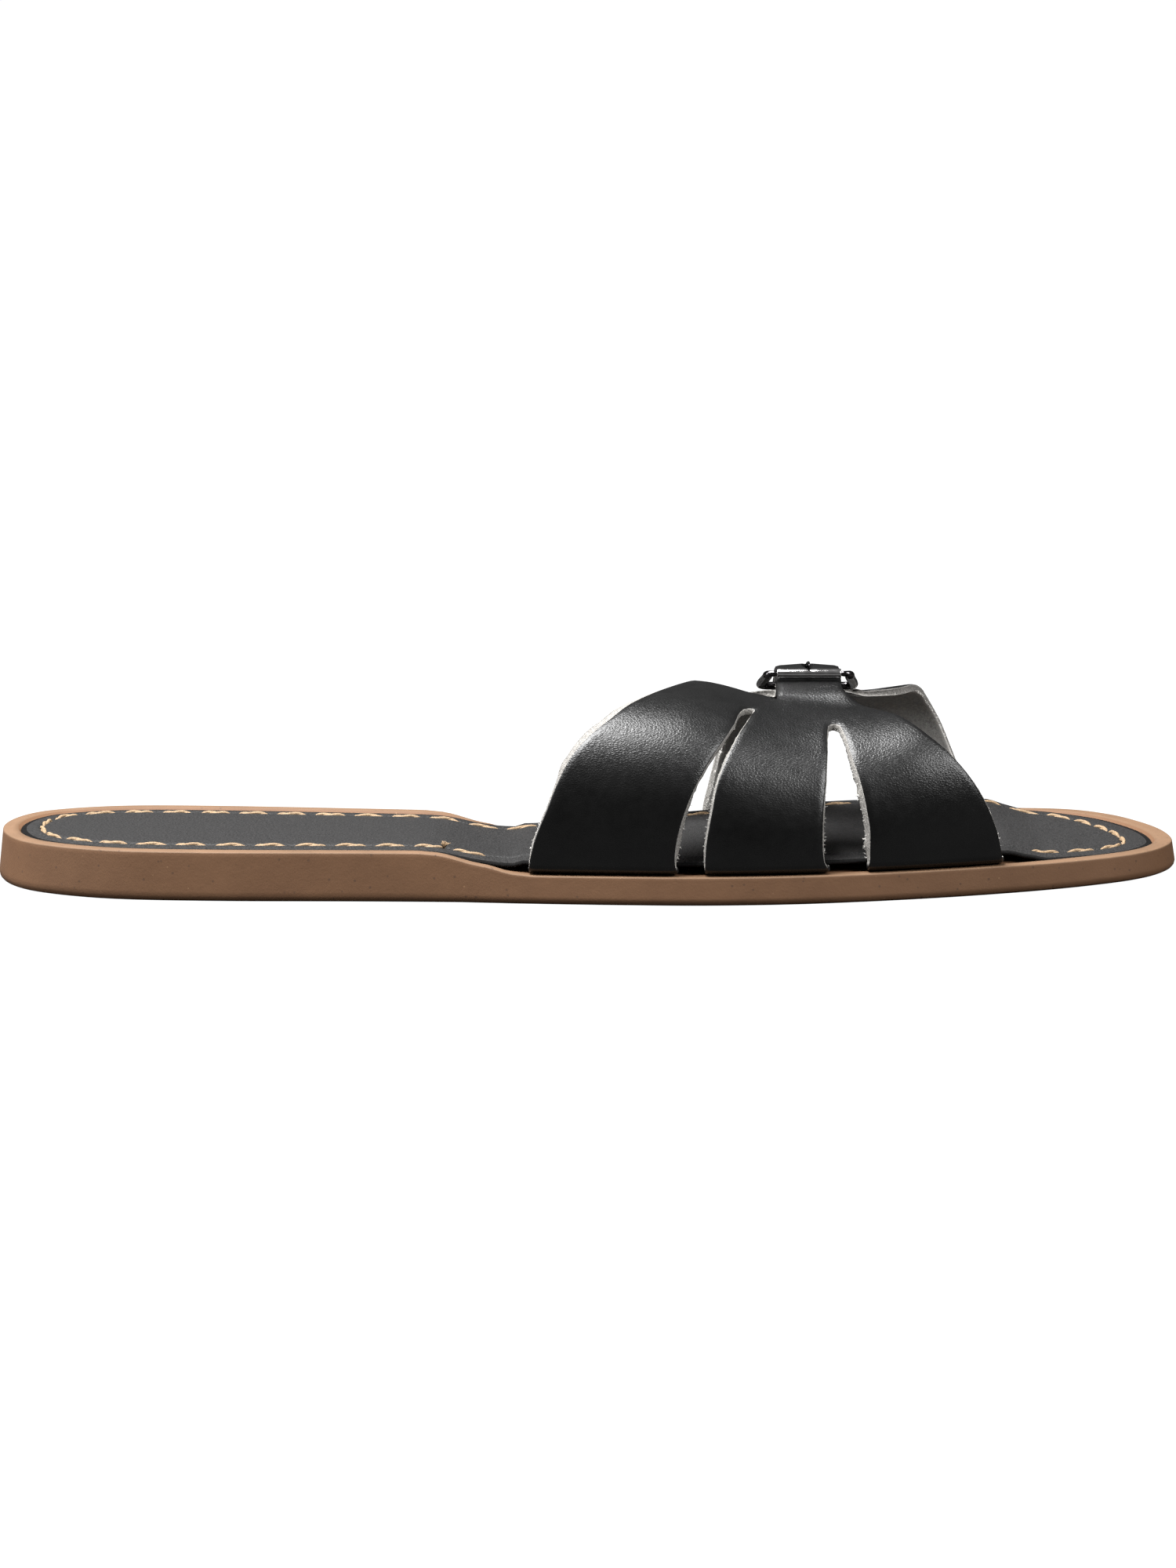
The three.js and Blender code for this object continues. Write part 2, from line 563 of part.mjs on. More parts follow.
function panelGeometry(panel) {
  const outer = ({ station, rise }) => outerPoint(panel, station, rise);
  const inner = ({ station, rise }) => innerPoint(panel, station, rise);
  return turnedOut(thicken(panelSurface(panel), outer, inner));
}

// Opening for the prong through the tab and through the fold round the bar
function prongHole(y, length, z, height) {
  const hole = new THREE.CylinderGeometry(PRONG_SLOT / 2, PRONG_SLOT / 2, height, 16);
  hole.rotateX(Math.PI / 2);
  hole.scale(1, length / PRONG_SLOT, 1);
  hole.translate(STRAP_CENTRE, y, z);
  return hole;
}

function lateralUpper() {
  return cutBy(panelGeometry(LATERAL_PANEL), prongHole(HOLE.y, HOLE.length, 44.2, 5));
}

function medialUpper() {
  return cutBy(panelGeometry(MEDIAL_PANEL), prongHole(FOLD_SLOT.y, FOLD_SLOT.length, BAR.z + 0.2, 6.6));
}

// A round rod along a path, with its radius from a function of the place
function rod(points, radiusAt, sides, closed) {
  const frames = [];
  const count = points.length;
  let reference = null;
  for (let k = 0; k < count; k += 1) {
    const before = points[closed ? (k + count - 1) % count : Math.max(0, k - 1)];
    const after = points[closed ? (k + 1) % count : Math.min(count - 1, k + 1)];
    const tangent = after.clone().sub(before).normalize();
    if (!reference) reference = new THREE.Vector3(0, 0, 1).cross(tangent).normalize();
    reference.addScaledVector(tangent, -reference.dot(tangent)).normalize();
    frames.push({ centre: points[k], u: reference.clone(), v: tangent.clone().cross(reference) });
  }
  const vertices = [];
  frames.forEach(({ centre, u, v }, k) => {
    for (let s = 0; s < sides; s += 1) {
      const angle = 2 * Math.PI * s / sides;
      const p = centre.clone()
        .addScaledVector(u, radiusAt(k) * Math.cos(angle))
        .addScaledVector(v, radiusAt(k) * Math.sin(angle));
      vertices.push(p.x, p.y, p.z);
    }
  });
  const faces = [];
  const spans = closed ? count : count - 1;
  for (let k = 0; k < spans; k += 1) {
    for (let s = 0; s < sides; s += 1) {
      const a = k * sides + s;
      const b = k * sides + (s + 1) % sides;
      const c = ((k + 1) % count) * sides;
      faces.push(a, b, c + (s + 1) % sides, a, c + (s + 1) % sides, c + s);
    }
  }
  if (!closed) {
    for (let s = 1; s + 1 < sides; s += 1) {
      const end = (count - 1) * sides;
      faces.push(0, s + 1, s, end, end + s, end + s + 1);
    }
  }
  return turnedOut(solidGeometry(vertices, faces));
}

// Frame: bar at the far side, axle at the near side, two bent arms
function frameGeometry() {
  const slope = Math.atan2(BAR.z - ROLLER.z, BAR.y - ROLLER.y);
  const depth = Math.hypot(BAR.z - ROLLER.z, BAR.y - ROLLER.y);
  const corners = [
    { x: -FRAME_HALF_WIDTH, v: 0, bend: AXLE_CORNER }, { x: FRAME_HALF_WIDTH, v: 0, bend: AXLE_CORNER },
    { x: FRAME_HALF_WIDTH, v: depth, bend: BAR_CORNER }, { x: -FRAME_HALF_WIDTH, v: depth, bend: BAR_CORNER },
  ];
  const points = [];
  const radii = [];
  const bends = 5;
  corners.forEach((corner, k) => {
    const insideX = corner.x - Math.sign(corner.x) * corner.bend;
    const insideV = corner.v === 0 ? corner.bend : depth - corner.bend;
    for (let b = 0; b <= bends; b += 1) {
      const angle = Math.PI + Math.PI / 2 * (k + b / bends);
      const x = insideX + corner.bend * Math.cos(angle);
      const v = insideV + corner.bend * Math.sin(angle);
      points.push(new THREE.Vector3(
        STRAP_CENTRE + x, ROLLER.y + v * Math.cos(slope), ROLLER.z + v * Math.sin(slope)));
      const onAxle = (k === 0 && b === bends) || (k === 1 && b === 0);
      radii.push(onAxle ? AXLE_RADIUS : BAR.radius);
    }
    if (k !== 0) return;
    const end = ROLLER.length / 2 + GAP;
    [-end, end].forEach((x) => {
      points.push(new THREE.Vector3(STRAP_CENTRE + x, ROLLER.y, ROLLER.z));
      radii.push(AXLE_RADIUS);
    });
  });
  return rod(points, (k) => radii[k], 10, true);
}

function rollerGeometry() {
  const half = ROLLER.length / 2;
  const profile = [
    new THREE.Vector2(ROLLER.bore, -half), new THREE.Vector2(ROLLER.radius, -half),
    new THREE.Vector2(ROLLER.radius, half), new THREE.Vector2(ROLLER.bore, half),
    new THREE.Vector2(ROLLER.bore, -half),
  ];
  const tube = new THREE.LatheGeometry(profile, 14);
  tube.deleteAttribute('normal');
  tube.deleteAttribute('uv');
  const closed = mergeVertices(tube, 1e-4);
  closed.rotateZ(Math.PI / 2);
  closed.translate(STRAP_CENTRE, ROLLER.y, ROLLER.z);
  return turnedOut(closed);
}

// Prong: an open hook round the bar, then a tapered pin onto the roller
function prongGeometry() {
  const radius = BAR.radius + GAP + PRONG_RADIUS;
  const points = [];
  for (let degrees = -150; degrees <= 60; degrees += 21) {
    const angle = THREE.MathUtils.degToRad(degrees);
    points.push(new THREE.Vector3(
      STRAP_CENTRE, BAR.y + radius * Math.cos(angle), BAR.z + radius * Math.sin(angle)));
  }
  PRONG_PIN.forEach(({ y, z }) => points.push(new THREE.Vector3(STRAP_CENTRE, y, z)));
  const smoothPoints = new THREE.CatmullRomCurve3(points, false, 'centripetal').getPoints(34);
  return rod(smoothPoints, (k) => PRONG_RADIUS * (k > 32 ? 0.75 : 1), 8, false);
}

// The assembly

function piece(name, geometry, look) {
  const mesh = new THREE.Mesh(geometry, new THREE.MeshStandardMaterial(look));
  mesh.name = name;
  return mesh;
}

const sandal = new THREE.Group();
sandal.add(
  piece('outsole', turnedOut(outsoleGeometry()), COLOURS.rubber),
  piece('insole', turnedOut(insoleGeometry()), COLOURS.insole),
  piece('lateral_upper', lateralUpper(), COLOURS.leather),
  piece('medial_upper', medialUpper(), COLOURS.leather),
  piece('buckle_frame', frameGeometry(), COLOURS.nickel),
  piece('buckle_roller', rollerGeometry(), COLOURS.nickel),
  piece('buckle_prong', prongGeometry(), COLOURS.nickel),
);

// The origin is under the middle of the sandal's box
const reach = new THREE.Box3().setFromObject(sandal);
sandal.position.set(-(reach.min.x + reach.max.x) / 2, -(reach.min.y + reach.max.y) / 2, -reach.min.z);

export default sandal;
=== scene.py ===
"""Right slide sandal: brown rubber sole, black leather insole sewn with tan
thread, and two slotted black leather panels joined by a roller buckle.

Shapes are worked out in millimetres in the shoe's own stations: x is the
distance from the heel end, y is across the foot from the heel line (plus is
the inner side) and z is up. place() turns them into the frame's metres.
A rise is the distance over the leather from the edge of the sole.
"""
import math

import bpy
import numpy as np
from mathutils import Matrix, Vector
from mathutils.kdtree import KDTree


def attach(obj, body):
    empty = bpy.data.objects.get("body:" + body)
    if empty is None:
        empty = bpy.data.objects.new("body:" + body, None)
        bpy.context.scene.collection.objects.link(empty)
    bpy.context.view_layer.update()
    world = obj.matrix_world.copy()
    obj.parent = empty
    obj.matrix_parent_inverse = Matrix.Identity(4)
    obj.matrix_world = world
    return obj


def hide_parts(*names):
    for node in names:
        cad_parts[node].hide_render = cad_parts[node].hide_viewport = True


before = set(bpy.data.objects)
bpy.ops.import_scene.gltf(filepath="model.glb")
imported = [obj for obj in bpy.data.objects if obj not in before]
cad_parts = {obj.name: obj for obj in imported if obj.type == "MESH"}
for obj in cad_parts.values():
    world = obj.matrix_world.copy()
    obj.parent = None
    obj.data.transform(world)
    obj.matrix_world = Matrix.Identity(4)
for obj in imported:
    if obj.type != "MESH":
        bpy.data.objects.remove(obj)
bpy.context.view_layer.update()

# Driving sizes, in millimetres
LENGTH = 260.3
HEEL_HEIGHT = 10.75
FOREFOOT_HEIGHT = 6.2
TOE_HEIGHT = 5.9
TOE_SPRING = 1.4
SPRING_START = 222
SOLE_DRAFT = 0.09
RECESS_DEPTH = 1.3
GAP = 0.3
INSOLE_THICKNESS = 1.1
LEATHER = 1.8
LEATHER_SKIVED = 1.3
WALL_INSET = 0.5
TURN_RADIUS = 2.0
MARGIN_LENGTH = 9
LAST_BASE = 6.5
STRAP_CENTRE = 178.9
STRAP_HALF = 7
BAR_Y, BAR_Z, BAR_RADIUS = 13, 40.6, 0.9
ROLLER_Y, ROLLER_Z, ROLLER_RADIUS, ROLLER_LENGTH = 1, 45.1, 1.12, 14.2
PRONG_RADIUS = 0.7
FRAME_HALF_WIDTH = 9.1
TAB_PEAK, RIDGE_HALF_WIDTH, RIDGE_AT, RIDGE_RUN = 0.6, 7.2, 22.6, 3.6
SHOULDER_FORWARD, REAR_DROP = 2.4, 1.5

# Where forms ease in along the shoe or up the leather: start and run
STRAP_EASE, SKIVE_EASE, MARGIN_EASE = (0, 5), (1, 5), (-1, 6)
FRONT_BEND_STARTS, FRONT_BEND_ENDS, FRONT_BEND_RISES = (185.5, 4), (199, 8), (38, 8)
REAR_BEND_ENDS, REAR_BEND_RISES = (161.5, 10), (30, 12)

# Plan of the sole's top edge
PLAN_COLUMNS = ("station", "lateral", "medial")
PLAN_ROWS = (
    (0, 2.5, 2.5),
    (5, -15.4, 19.2),
    (14, -23.6, 25.8),
    (28, -29.3, 29.2),
    (50, -31.6, 28.3),
    (80, -32.2, 24.9),
    (100, -33.0, 22.3),
    (115, -35.0, 20.4),
    (135, -36.8, 27.3),
    (155, -37.6, 37.6),
    (175, -36.0, 46.6),
    (193, -32.2, 52.0),
    (210, -27.2, 53.6),
    (228, -20.4, 52.8),
    (241, -15.2, 49.6),
    (250, -11.0, 40.3),
    (256, -5.9, 27.8),
    (LENGTH, 6.0, 6.0),
)

# Height of the sole's top edge, depth of its recess and width of its rim
SIDE_COLUMNS = ("station", "edge", "recess", "rim")
SIDE_ROWS = (
    (0, HEEL_HEIGHT, RECESS_DEPTH, 3.7),
    (93, HEEL_HEIGHT, RECESS_DEPTH, 3.7),
    (97, 10.45, 1.2, 3.5),
    (107, 8.2, 0.6, 3.1),
    (114, 6.55, 0, 2.9),
    (118, FOREFOOT_HEIGHT, 0, 2.9),
    (221, FOREFOOT_HEIGHT, 0, 2.9),
    (232, 6.1, 1.0, 3.6),
    (242, 6.0, RECESS_DEPTH, 4.2),
    (LENGTH, TOE_HEIGHT, RECESS_DEPTH, 4.2),
)

# Height of the insole over the recess, by station
LIFT_ROWS = (
    (0, 0), (109, 0), (113.5, 0.5), (116.4, 1.55), (124, 1.58), (217, 1.58),
    (222, 1.6), (226.5, 0.8), (231, 0.1), (238, 0), (LENGTH, 0),
)

# The last across the foot: crown place and height, squareness of each side
LAST_COLUMNS = ("station", "crown_y", "crown_z", "lateral_power", "medial_power")
LAST_ROWS = (
    (105, -4.5, 43.6, 3.0, 2.6),
    (135, -3.0, 43.8, 3.1, 2.5),
    (150, -1.0, 43.6, 3.0, 2.4),
    (158, 0.5, 43.0, 2.8, 2.3),
    (168, 2.0, 41.4, 2.6, 2.2),
    (180, 3.5, 40.5, 2.5, 2.2),
    (192, 5.0, 39.8, 2.9, 2.5),
    (203, 6.0, 39.9, 3.4, 3.2),
    (225, 9.0, 39.2, 3.8, 3.5),
)

# Outline of each panel: station of each cut edge at each rise
CUT_COLUMNS = ("rise", "rear", "slot1_rear", "slot1_front", "slot2_rear", "slot2_front", "front")
LATERAL_CUT = (
    (0, 117.2, 149.4, 155.4, 182.3, 190.7, 220.8),
    (3, 117.4, 148.7, 155.3, 181.1, 191.2, 220.3),
    (8, 118.6, 149.2, 155.7, 180.8, 191.2, 219.1),
    (14, 121.0, 150.9, 156.8, 181.0, 190.4, 216.6),
    (20, 123.4, 153.4, 158.0, 181.5, 189.1, 213.0),
    (26, 126.5, 156.7, 160.1, 181.9, 187.4, 208.2),
    (31, 130.4, 159.6, 162.2, 182.2, 186.2, 203.8),
    (36, 135.0, 162.0, 164.1, 182.9, 184.6, 200.2),
    (41, 138.6, 164.2, 165.8, 183.0, 183.0, 197.0),
    (46, 142.4, 169.0, 169.0, 181.9, 181.9, 193.0),
    (50, 145.0, 171.9, 171.9, 181.0, 181.0, 188.3),
    (55, 147.8, 171.9, 171.9, 181.0, 181.0, 185.9),
    (61, 150.7, 171.9, 171.9, 181.0, 181.0, 185.9),
    (67, 153.6, 171.9, 171.9, 181.0, 181.0, 185.9),
)
MEDIAL_CUT = (
    (0, 120.8, 149.7, 156.0, 182.2, 192.2, 220.6),
    (3, 121.0, 149.2, 156.2, 181.3, 192.2, 219.0),
    (8, 121.8, 150.0, 157.4, 181.0, 191.3, 216.2),
    (14, 124.0, 152.0, 158.8, 181.2, 190.3, 213.7),
    (20, 128.4, 154.5, 160.3, 181.6, 188.9, 211.4),
    (26, 134.5, 157.5, 162.3, 182.0, 187.5, 208.9),
    (31, 139.5, 160.5, 164.0, 182.6, 186.0, 207.2),
    (36, 147.5, 163.5, 165.6, 183.9, 184.5, 205.9),
    (41, 154.5, 168.2, 168.2, 182.6, 182.6, 204.0),
    (44.6, 161.0, 171.9, 171.9, 181.8, 181.8, 201.3),
    (47.1, 161.0, 171.9, 171.9, 181.2, 181.2, 196.8),
    (48.8, 161.0, 171.9, 171.9, 181.0, 181.0, 187.6),
    (50, 161.0, 171.9, 171.9, 181.0, 181.0, 185.9),
    (55, 161.0, 171.9, 171.9, 181.0, 181.0, 185.9),
)

LATERAL_PANEL = dict(
    cut=LATERAL_CUT, side="lateral", root_y=-9.8, root_row=50, root_past=4,
    slot1_top=42.2, slot2_top=36.9, lobe_row=48.8, lobe_rise=66, lobe_bulge=13, blend_width=7,
)
MEDIAL_PANEL = dict(
    cut=MEDIAL_CUT, side="medial", root_y=22, root_row=50, root_past=7,
    slot1_top=38.4, slot2_top=36.6, lobe_row=44.6, lobe_rise=43.2, lobe_bulge=3, blend_width=4,
)

# Path of the tab's outer face: under the roller, over the bar, then a tail
TAB_PATH = (
    (-9.8, 40.1), (-7, 41.0), (-3.8, 42.3), (1, 43.65), (6, 44.5),
    (12, 45.2), (16.5, 44.5), (20.5, 42.8), (25, 41.0), (30, 39.2),
    (34, 37.3), (37.5, 35.3),
)

# How far the flesh side stands out past the grain side along each cut edge
PROUD_ROWS = (
    (-1, 0, 0, 0, 0, 0, 0),
    (2.2, 0.05, 0.12, 0.08, 0.1, 0.12, 0.05),
    (5, 0.25, 0.9, 0.35, 0.6, 0.8, 0.3),
    (12, 0.3, 0.8, 0.35, 0.6, 0.85, 0.35),
    (18, 0.5, 0.5, 0.35, 0.3, 1.0, 0.3),
    (24, 1.1, 0.4, 0.3, 0.15, 0.8, 0.2),
    (30, 1.9, 0.3, 0.25, 0.15, 0.5, 0.2),
    (38, 2.6, 0.2, 0.2, 0.15, 0.3, 0.2),
    (54, 2.6, 0.2, 0.2, 0.15, 0.3, 0.2),
    (65, 0.3, 0.2, 0.2, 0.15, 0.3, 0.2),
)
MEDIAL_REAR_PROUD = 0.25


# Small maths

def smooth(t):
    t = np.clip(t, 0, 1)
    return t * t * (3 - 2 * t)


def ease(value, start, run):
    """0 before the start, 1 after the run, and smooth between."""
    return smooth((value - start) / run)


def mix(a, b, t):
    return a + (b - a) * t


def named(rows, columns):
    """The columns of a table, each as an array under its name."""
    return dict(zip(columns, np.array(rows, float).T))


def unit(vectors):
    """Vectors in rows, each brought to a length of 1."""
    return vectors / np.maximum(np.linalg.norm(vectors, axis=1), 1e-9)[:, None]


def run_length(points):
    """Length run at each point of a path."""
    return np.concatenate([[0], np.cumsum(np.linalg.norm(np.diff(points, axis=0), axis=1))])


def full_turn(count):
    return np.linspace(0, 2 * math.pi, count + 1)[:-1]


def curve(xs, ys):
    """A smooth curve through points, with a level stretch kept level."""
    slope = np.zeros(len(xs))
    for k in range(len(xs)):
        low, high = max(0, k - 1), min(len(xs) - 1, k + 1)
        level_run = (k > 0 and ys[low] == ys[k]) or (k < len(xs) - 1 and ys[high] == ys[k])
        slope[k] = 0 if level_run else (ys[high] - ys[low]) / (xs[high] - xs[low])

    def at(x):
        x = np.asarray(x, float)
        i = np.clip(np.searchsorted(xs, x, side="right") - 1, 0, len(xs) - 2)
        step = xs[i + 1] - xs[i]
        t = np.clip((x - xs[i]) / step, 0, 1)
        bend = slope[i] * t * (1 - t) ** 2 - slope[i + 1] * t * t * (1 - t)
        return mix(ys[i], ys[i + 1], smooth(t)) + step * bend

    return at


def stepped(xs, ys):
    """Nearly straight runs between points, softened at each."""
    def at(x):
        x = np.asarray(x, float)
        i = np.clip(np.searchsorted(xs, x, side="left") - 1, 0, len(xs) - 2)
        t = np.clip((x - xs[i]) / (xs[i + 1] - xs[i]), 0, 1)
        return mix(ys[i], ys[i + 1], smooth(t) * 0.5 + t * 0.5)

    return at


# Plan and side of the sole

def turn_of(station):
    return np.arccos(1 - 2 * np.clip(np.asarray(station, float) / LENGTH, 0, 1))


PLAN = named(PLAN_ROWS, PLAN_COLUMNS)
PLAN_EDGE = {side: curve(turn_of(PLAN["station"]), PLAN[side]) for side in ("lateral", "medial")}
SIDE = named(SIDE_ROWS, SIDE_COLUMNS)
sole_edge = stepped(SIDE["station"], SIDE["edge"])
sole_recess = stepped(SIDE["station"], SIDE["recess"])
rim_width = stepped(SIDE["station"], SIDE["rim"])
insole_lift = stepped(*np.array(LIFT_ROWS, float).T)


def plan_edge(station, side):
    return PLAN_EDGE[side](turn_of(station))


def spring(station):
    return TOE_SPRING * np.clip((station - SPRING_START) / (LENGTH - SPRING_START), 0, 1) ** 2


def edge_height(station):
    return sole_edge(station) + spring(station)


def floor_height(station):
    return edge_height(station) - sole_recess(station)


def insole_bottom(station):
    return floor_height(station) + GAP + insole_lift(station)


PLAN_STEPS = 220
TURNS = np.linspace(0, math.pi, PLAN_STEPS + 1)
RING_TURNS = np.concatenate([TURNS, TURNS[-2:0:-1]])
RING_SIDE_IS_LATERAL = np.arange(2 * PLAN_STEPS) <= PLAN_STEPS


def outline(inset):
    """The plan moved inward, heel to toe on the lateral side and back."""
    station = LENGTH * (1 - np.cos(RING_TURNS)) / 2
    lateral, medial = PLAN_EDGE["lateral"](RING_TURNS), PLAN_EDGE["medial"](RING_TURNS)
    y = np.where(RING_SIDE_IS_LATERAL, lateral, medial)
    points = np.stack([station, y], 1)
    along = unit(np.roll(points, -1, 0) - np.roll(points, 1, 0))
    inward = np.stack([-along[:, 1], along[:, 0]], 1)
    return points + inward * np.broadcast_to(inset(station), station.shape)[:, None]


BOTTOM_OUTLINE = outline(lambda s: -SOLE_DRAFT * edge_height(s))
ORIGIN = (BOTTOM_OUTLINE.min(0) + BOTTOM_OUTLINE.max(0)) / 2


def place(points):
    """Stations in millimetres to the frame in metres."""
    return (np.asarray(points, float) - [ORIGIN[0], ORIGIN[1], 0]) / 1000


# Meshes

def add_object(name, data):
    added = bpy.data.objects.new(name, data)
    bpy.context.scene.collection.objects.link(added)
    return added


def add_mesh(name, points, faces, *materials):
    """An object with a mesh, its points in metres."""
    mesh = bpy.data.meshes.new(name)
    mesh.from_pydata(points.tolist(), [], [tuple(map(int, f)) for f in faces])
    for material in materials:
        mesh.materials.append(material)
    return add_object(name, mesh)


def make_piece(name, points, faces, materials, face_material=None, slot=None, replaces=()):
    piece = add_mesh(name, place(points), faces, *materials)
    polygons = piece.data.polygons
    if face_material is not None:
        polygons.foreach_set("material_index", np.asarray(face_material, np.int32))
    polygons.foreach_set("use_smooth", np.ones(len(polygons), bool))
    piece.data.update()
    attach(piece, "root")
    if replaces:
        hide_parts(*replaces)
    return piece


def ring_faces(count, rings):
    """Quads between rings of points laid one after the other."""
    faces = []
    for r in range(rings - 1):
        for k in range(count):
            a, b = r * count + k, r * count + (k + 1) % count
            faces.append((a, b, b + count, a + count))
    return faces


def closing_faces(count, rings):
    """Quads from the last ring back to the first."""
    last = (rings - 1) * count
    return [(last + s, last + (s + 1) % count, (s + 1) % count, s) for s in range(count)]


def cap_faces(count, start, up):
    """Strips from one side of a ring of the sole to the other."""
    half = count // 2
    faces = []
    for k in range(half):
        across, after = (count - k) % count, count - k - 1
        if k > 0:
            faces.append((start + across, start + k, start + k + 1))
        if k + 1 < half:
            faces.append((start + across, start + k + 1, start + after))
    return faces if up else [f[::-1] for f in faces]


def sole_stack(rings):
    """A closed form through rings of (inset, height), each the plan moved inward by its inset, capped at both
    ends.
    """
    layers = []
    for inset, height in rings:
        plan = outline(inset)
        layers.append(np.column_stack([plan, height(np.clip(plan[:, 0], 0, LENGTH))]))
    count = len(layers[0])
    faces = ring_faces(count, len(layers))
    faces += cap_faces(count, 0, up=False)
    faces += cap_faces(count, (len(layers) - 1) * count, up=True)
    return np.concatenate(layers), faces


# The last

LAST = named(LAST_ROWS, LAST_COLUMNS)
LAST_CURVES = {key: curve(LAST["station"], LAST[key]) for key in LAST_COLUMNS[1:]}
ARCH_STEPS = 96


def arches(station, side):
    """Arch of the last at each station, from one side: y, z and length, a row each."""
    station = np.asarray(station, float)[:, None]
    crown_y, crown_z = LAST_CURVES["crown_y"](station), LAST_CURVES["crown_z"](station)
    lateral_reach = crown_y - plan_edge(station, "lateral") - WALL_INSET
    medial_reach = plan_edge(station, "medial") - WALL_INSET - crown_y
    angle = np.pi * np.arange(ARCH_STEPS + 1)[None, :] / ARCH_STEPS
    on_lateral = (np.cos(angle) > 0) == (side == "lateral")
    reach = np.where(on_lateral, lateral_reach, medial_reach)
    power = np.where(on_lateral, LAST_CURVES["lateral_power"](station), LAST_CURVES["medial_power"](station))
    y = crown_y + np.where(on_lateral, -1, 1) * reach * np.abs(np.cos(angle)) ** (2 / power)
    z = LAST_BASE + (crown_z - LAST_BASE) * np.clip(np.sin(angle), 0, 1) ** (2 / power)
    step = np.hypot(np.diff(y, axis=1), np.diff(z, axis=1))
    length = np.concatenate([np.zeros((len(y), 1)), np.cumsum(step, axis=1)], 1)
    return y, z, length


def along_rows(values, keys, at):
    """Interpolates each row of values at its own place in the same row of keys."""
    i = np.clip((keys < at[:, None]).sum(1) - 1, 0, keys.shape[1] - 2)
    row = np.arange(len(at))
    t = (at - keys[row, i]) / np.maximum(keys[row, i + 1] - keys[row, i], 1e-9)
    return mix(values[row, i], values[row, i + 1], t)


DENSE_STEPS = 60


def smooth_path(points, steps):
    """Centripetal curve through points: y, z and length at even steps."""
    points = np.array(points, float)
    padded = np.concatenate([[2 * points[0] - points[1]], points, [2 * points[-1] - points[-2]]])
    dense = []
    for k in range(1, len(padded) - 2):
        p0, p1, p2, p3 = padded[k - 1:k + 3]
        d0, d1, d2 = (math.sqrt(np.linalg.norm(b - a)) for a, b in ((p0, p1), (p1, p2), (p2, p3)))
        t1 = ((p1 - p0) / d0 - (p2 - p0) / (d0 + d1) + (p2 - p1) / d1) * d1
        t2 = ((p2 - p1) / d1 - (p3 - p1) / (d1 + d2) + (p3 - p2) / d2) * d1
        t = np.linspace(0, 1, DENSE_STEPS, endpoint=k == len(padded) - 3)[:, None]
        square, cube = 3 * (p2 - p1) - 2 * t1 - t2, 2 * (p1 - p2) + t1 + t2
        dense.append(p1 + t1 * t + square * t ** 2 + cube * t ** 3)
    dense = np.concatenate(dense)
    length = run_length(dense)
    even = np.linspace(0, length[-1], steps + 1)
    return np.interp(even, length, dense[:, 0]), np.interp(even, length, dense[:, 1]), even


def around_bar(radius, degrees):
    """Points about the buckle's fixed bar."""
    return [(BAR_Y + radius * math.cos(a), BAR_Z + radius * math.sin(a)) for a in map(math.radians, degrees)]


STRAP_TO_BAR = [(22, 38.3), (19.6, 39.05), (17, 40.35)]
STRAP_FROM_BAR = [(16, 37.5), (19, 36.0), (22, 34.3), (27, 31.9)]
STRAP_STEPS = 120


def fold_points():
    """The medial strap's outer face: up to the bar, round it and back underneath."""
    radius = BAR_RADIUS + GAP + LEATHER_SKIVED
    return STRAP_TO_BAR + around_bar(radius, range(50, 271, 20)) + STRAP_FROM_BAR


STRAP_PATHS = dict(lateral=smooth_path(TAB_PATH, STRAP_STEPS), medial=smooth_path(fold_points(), STRAP_STEPS))


def rise_at(station, side, y):
    """Rise at which the last reaches a place across the foot."""
    path_y, _, length = arches(station, side)
    sign = 1 if side == "lateral" else -1
    return along_rows(length, sign * path_y, np.full(len(station), sign * y, float))


def outer_points(panel, station, rise):
    """Outer face of a panel at stations and rises."""
    station, rise = np.asarray(station, float), np.asarray(rise, float)
    side = panel["side"]
    inward = 1 if side == "lateral" else -1
    path_y, path_z, length = arches(station, side)
    y, z = along_rows(path_y, length, rise), along_rows(path_z, length, rise)
    wall = np.full(len(station), TURN_RADIUS)
    wall_y, wall_z = along_rows(path_y, length, wall), along_rows(path_z, length, wall)
    turn_end = TURN_RADIUS * (1 - math.pi / 2)
    angle = (TURN_RADIUS - np.maximum(rise, turn_end)) / TURN_RADIUS
    turned_y = wall_y + inward * (TURN_RADIUS * (1 - np.cos(angle)) + np.maximum(0, turn_end - rise))
    turned_z = wall_z - TURN_RADIUS * np.sin(angle)
    past = rise - rise_at(station, side, panel["root_y"])
    beside = np.abs(station - STRAP_CENTRE) - STRAP_HALF
    weight = ease(past, *STRAP_EASE) * (1 - ease(beside, 0, panel["blend_width"]))
    strap_y, strap_z, strap_length = STRAP_PATHS[side]
    on_strap_y = np.interp(past, strap_length, strap_y)
    on_strap_z = np.interp(past, strap_length, strap_z)
    if side == "lateral":
        ridge = np.clip(1 - np.abs(station - STRAP_CENTRE) / RIDGE_HALF_WIDTH, 0, 1)
        on_strap_z = on_strap_z + TAB_PEAK * ridge * np.exp(-((past - RIDGE_AT) / RIDGE_RUN) ** 2)
    low = rise < TURN_RADIUS
    out_y = np.where(low, turned_y, mix(y, on_strap_y, weight))
    out_z = np.where(low, turned_z, mix(z, on_strap_z, weight))
    if side == "medial":
        front = ease(station, *FRONT_BEND_STARTS) * (1 - ease(station, *FRONT_BEND_ENDS))
        front = front * ease(rise, *FRONT_BEND_RISES)
        rear = (1 - ease(station, *REAR_BEND_ENDS)) * ease(rise, *REAR_BEND_RISES)
        out_y = out_y - SHOULDER_FORWARD * front
        out_z = out_z - REAR_DROP * rear
    return np.stack([station, out_y, out_z], 1)


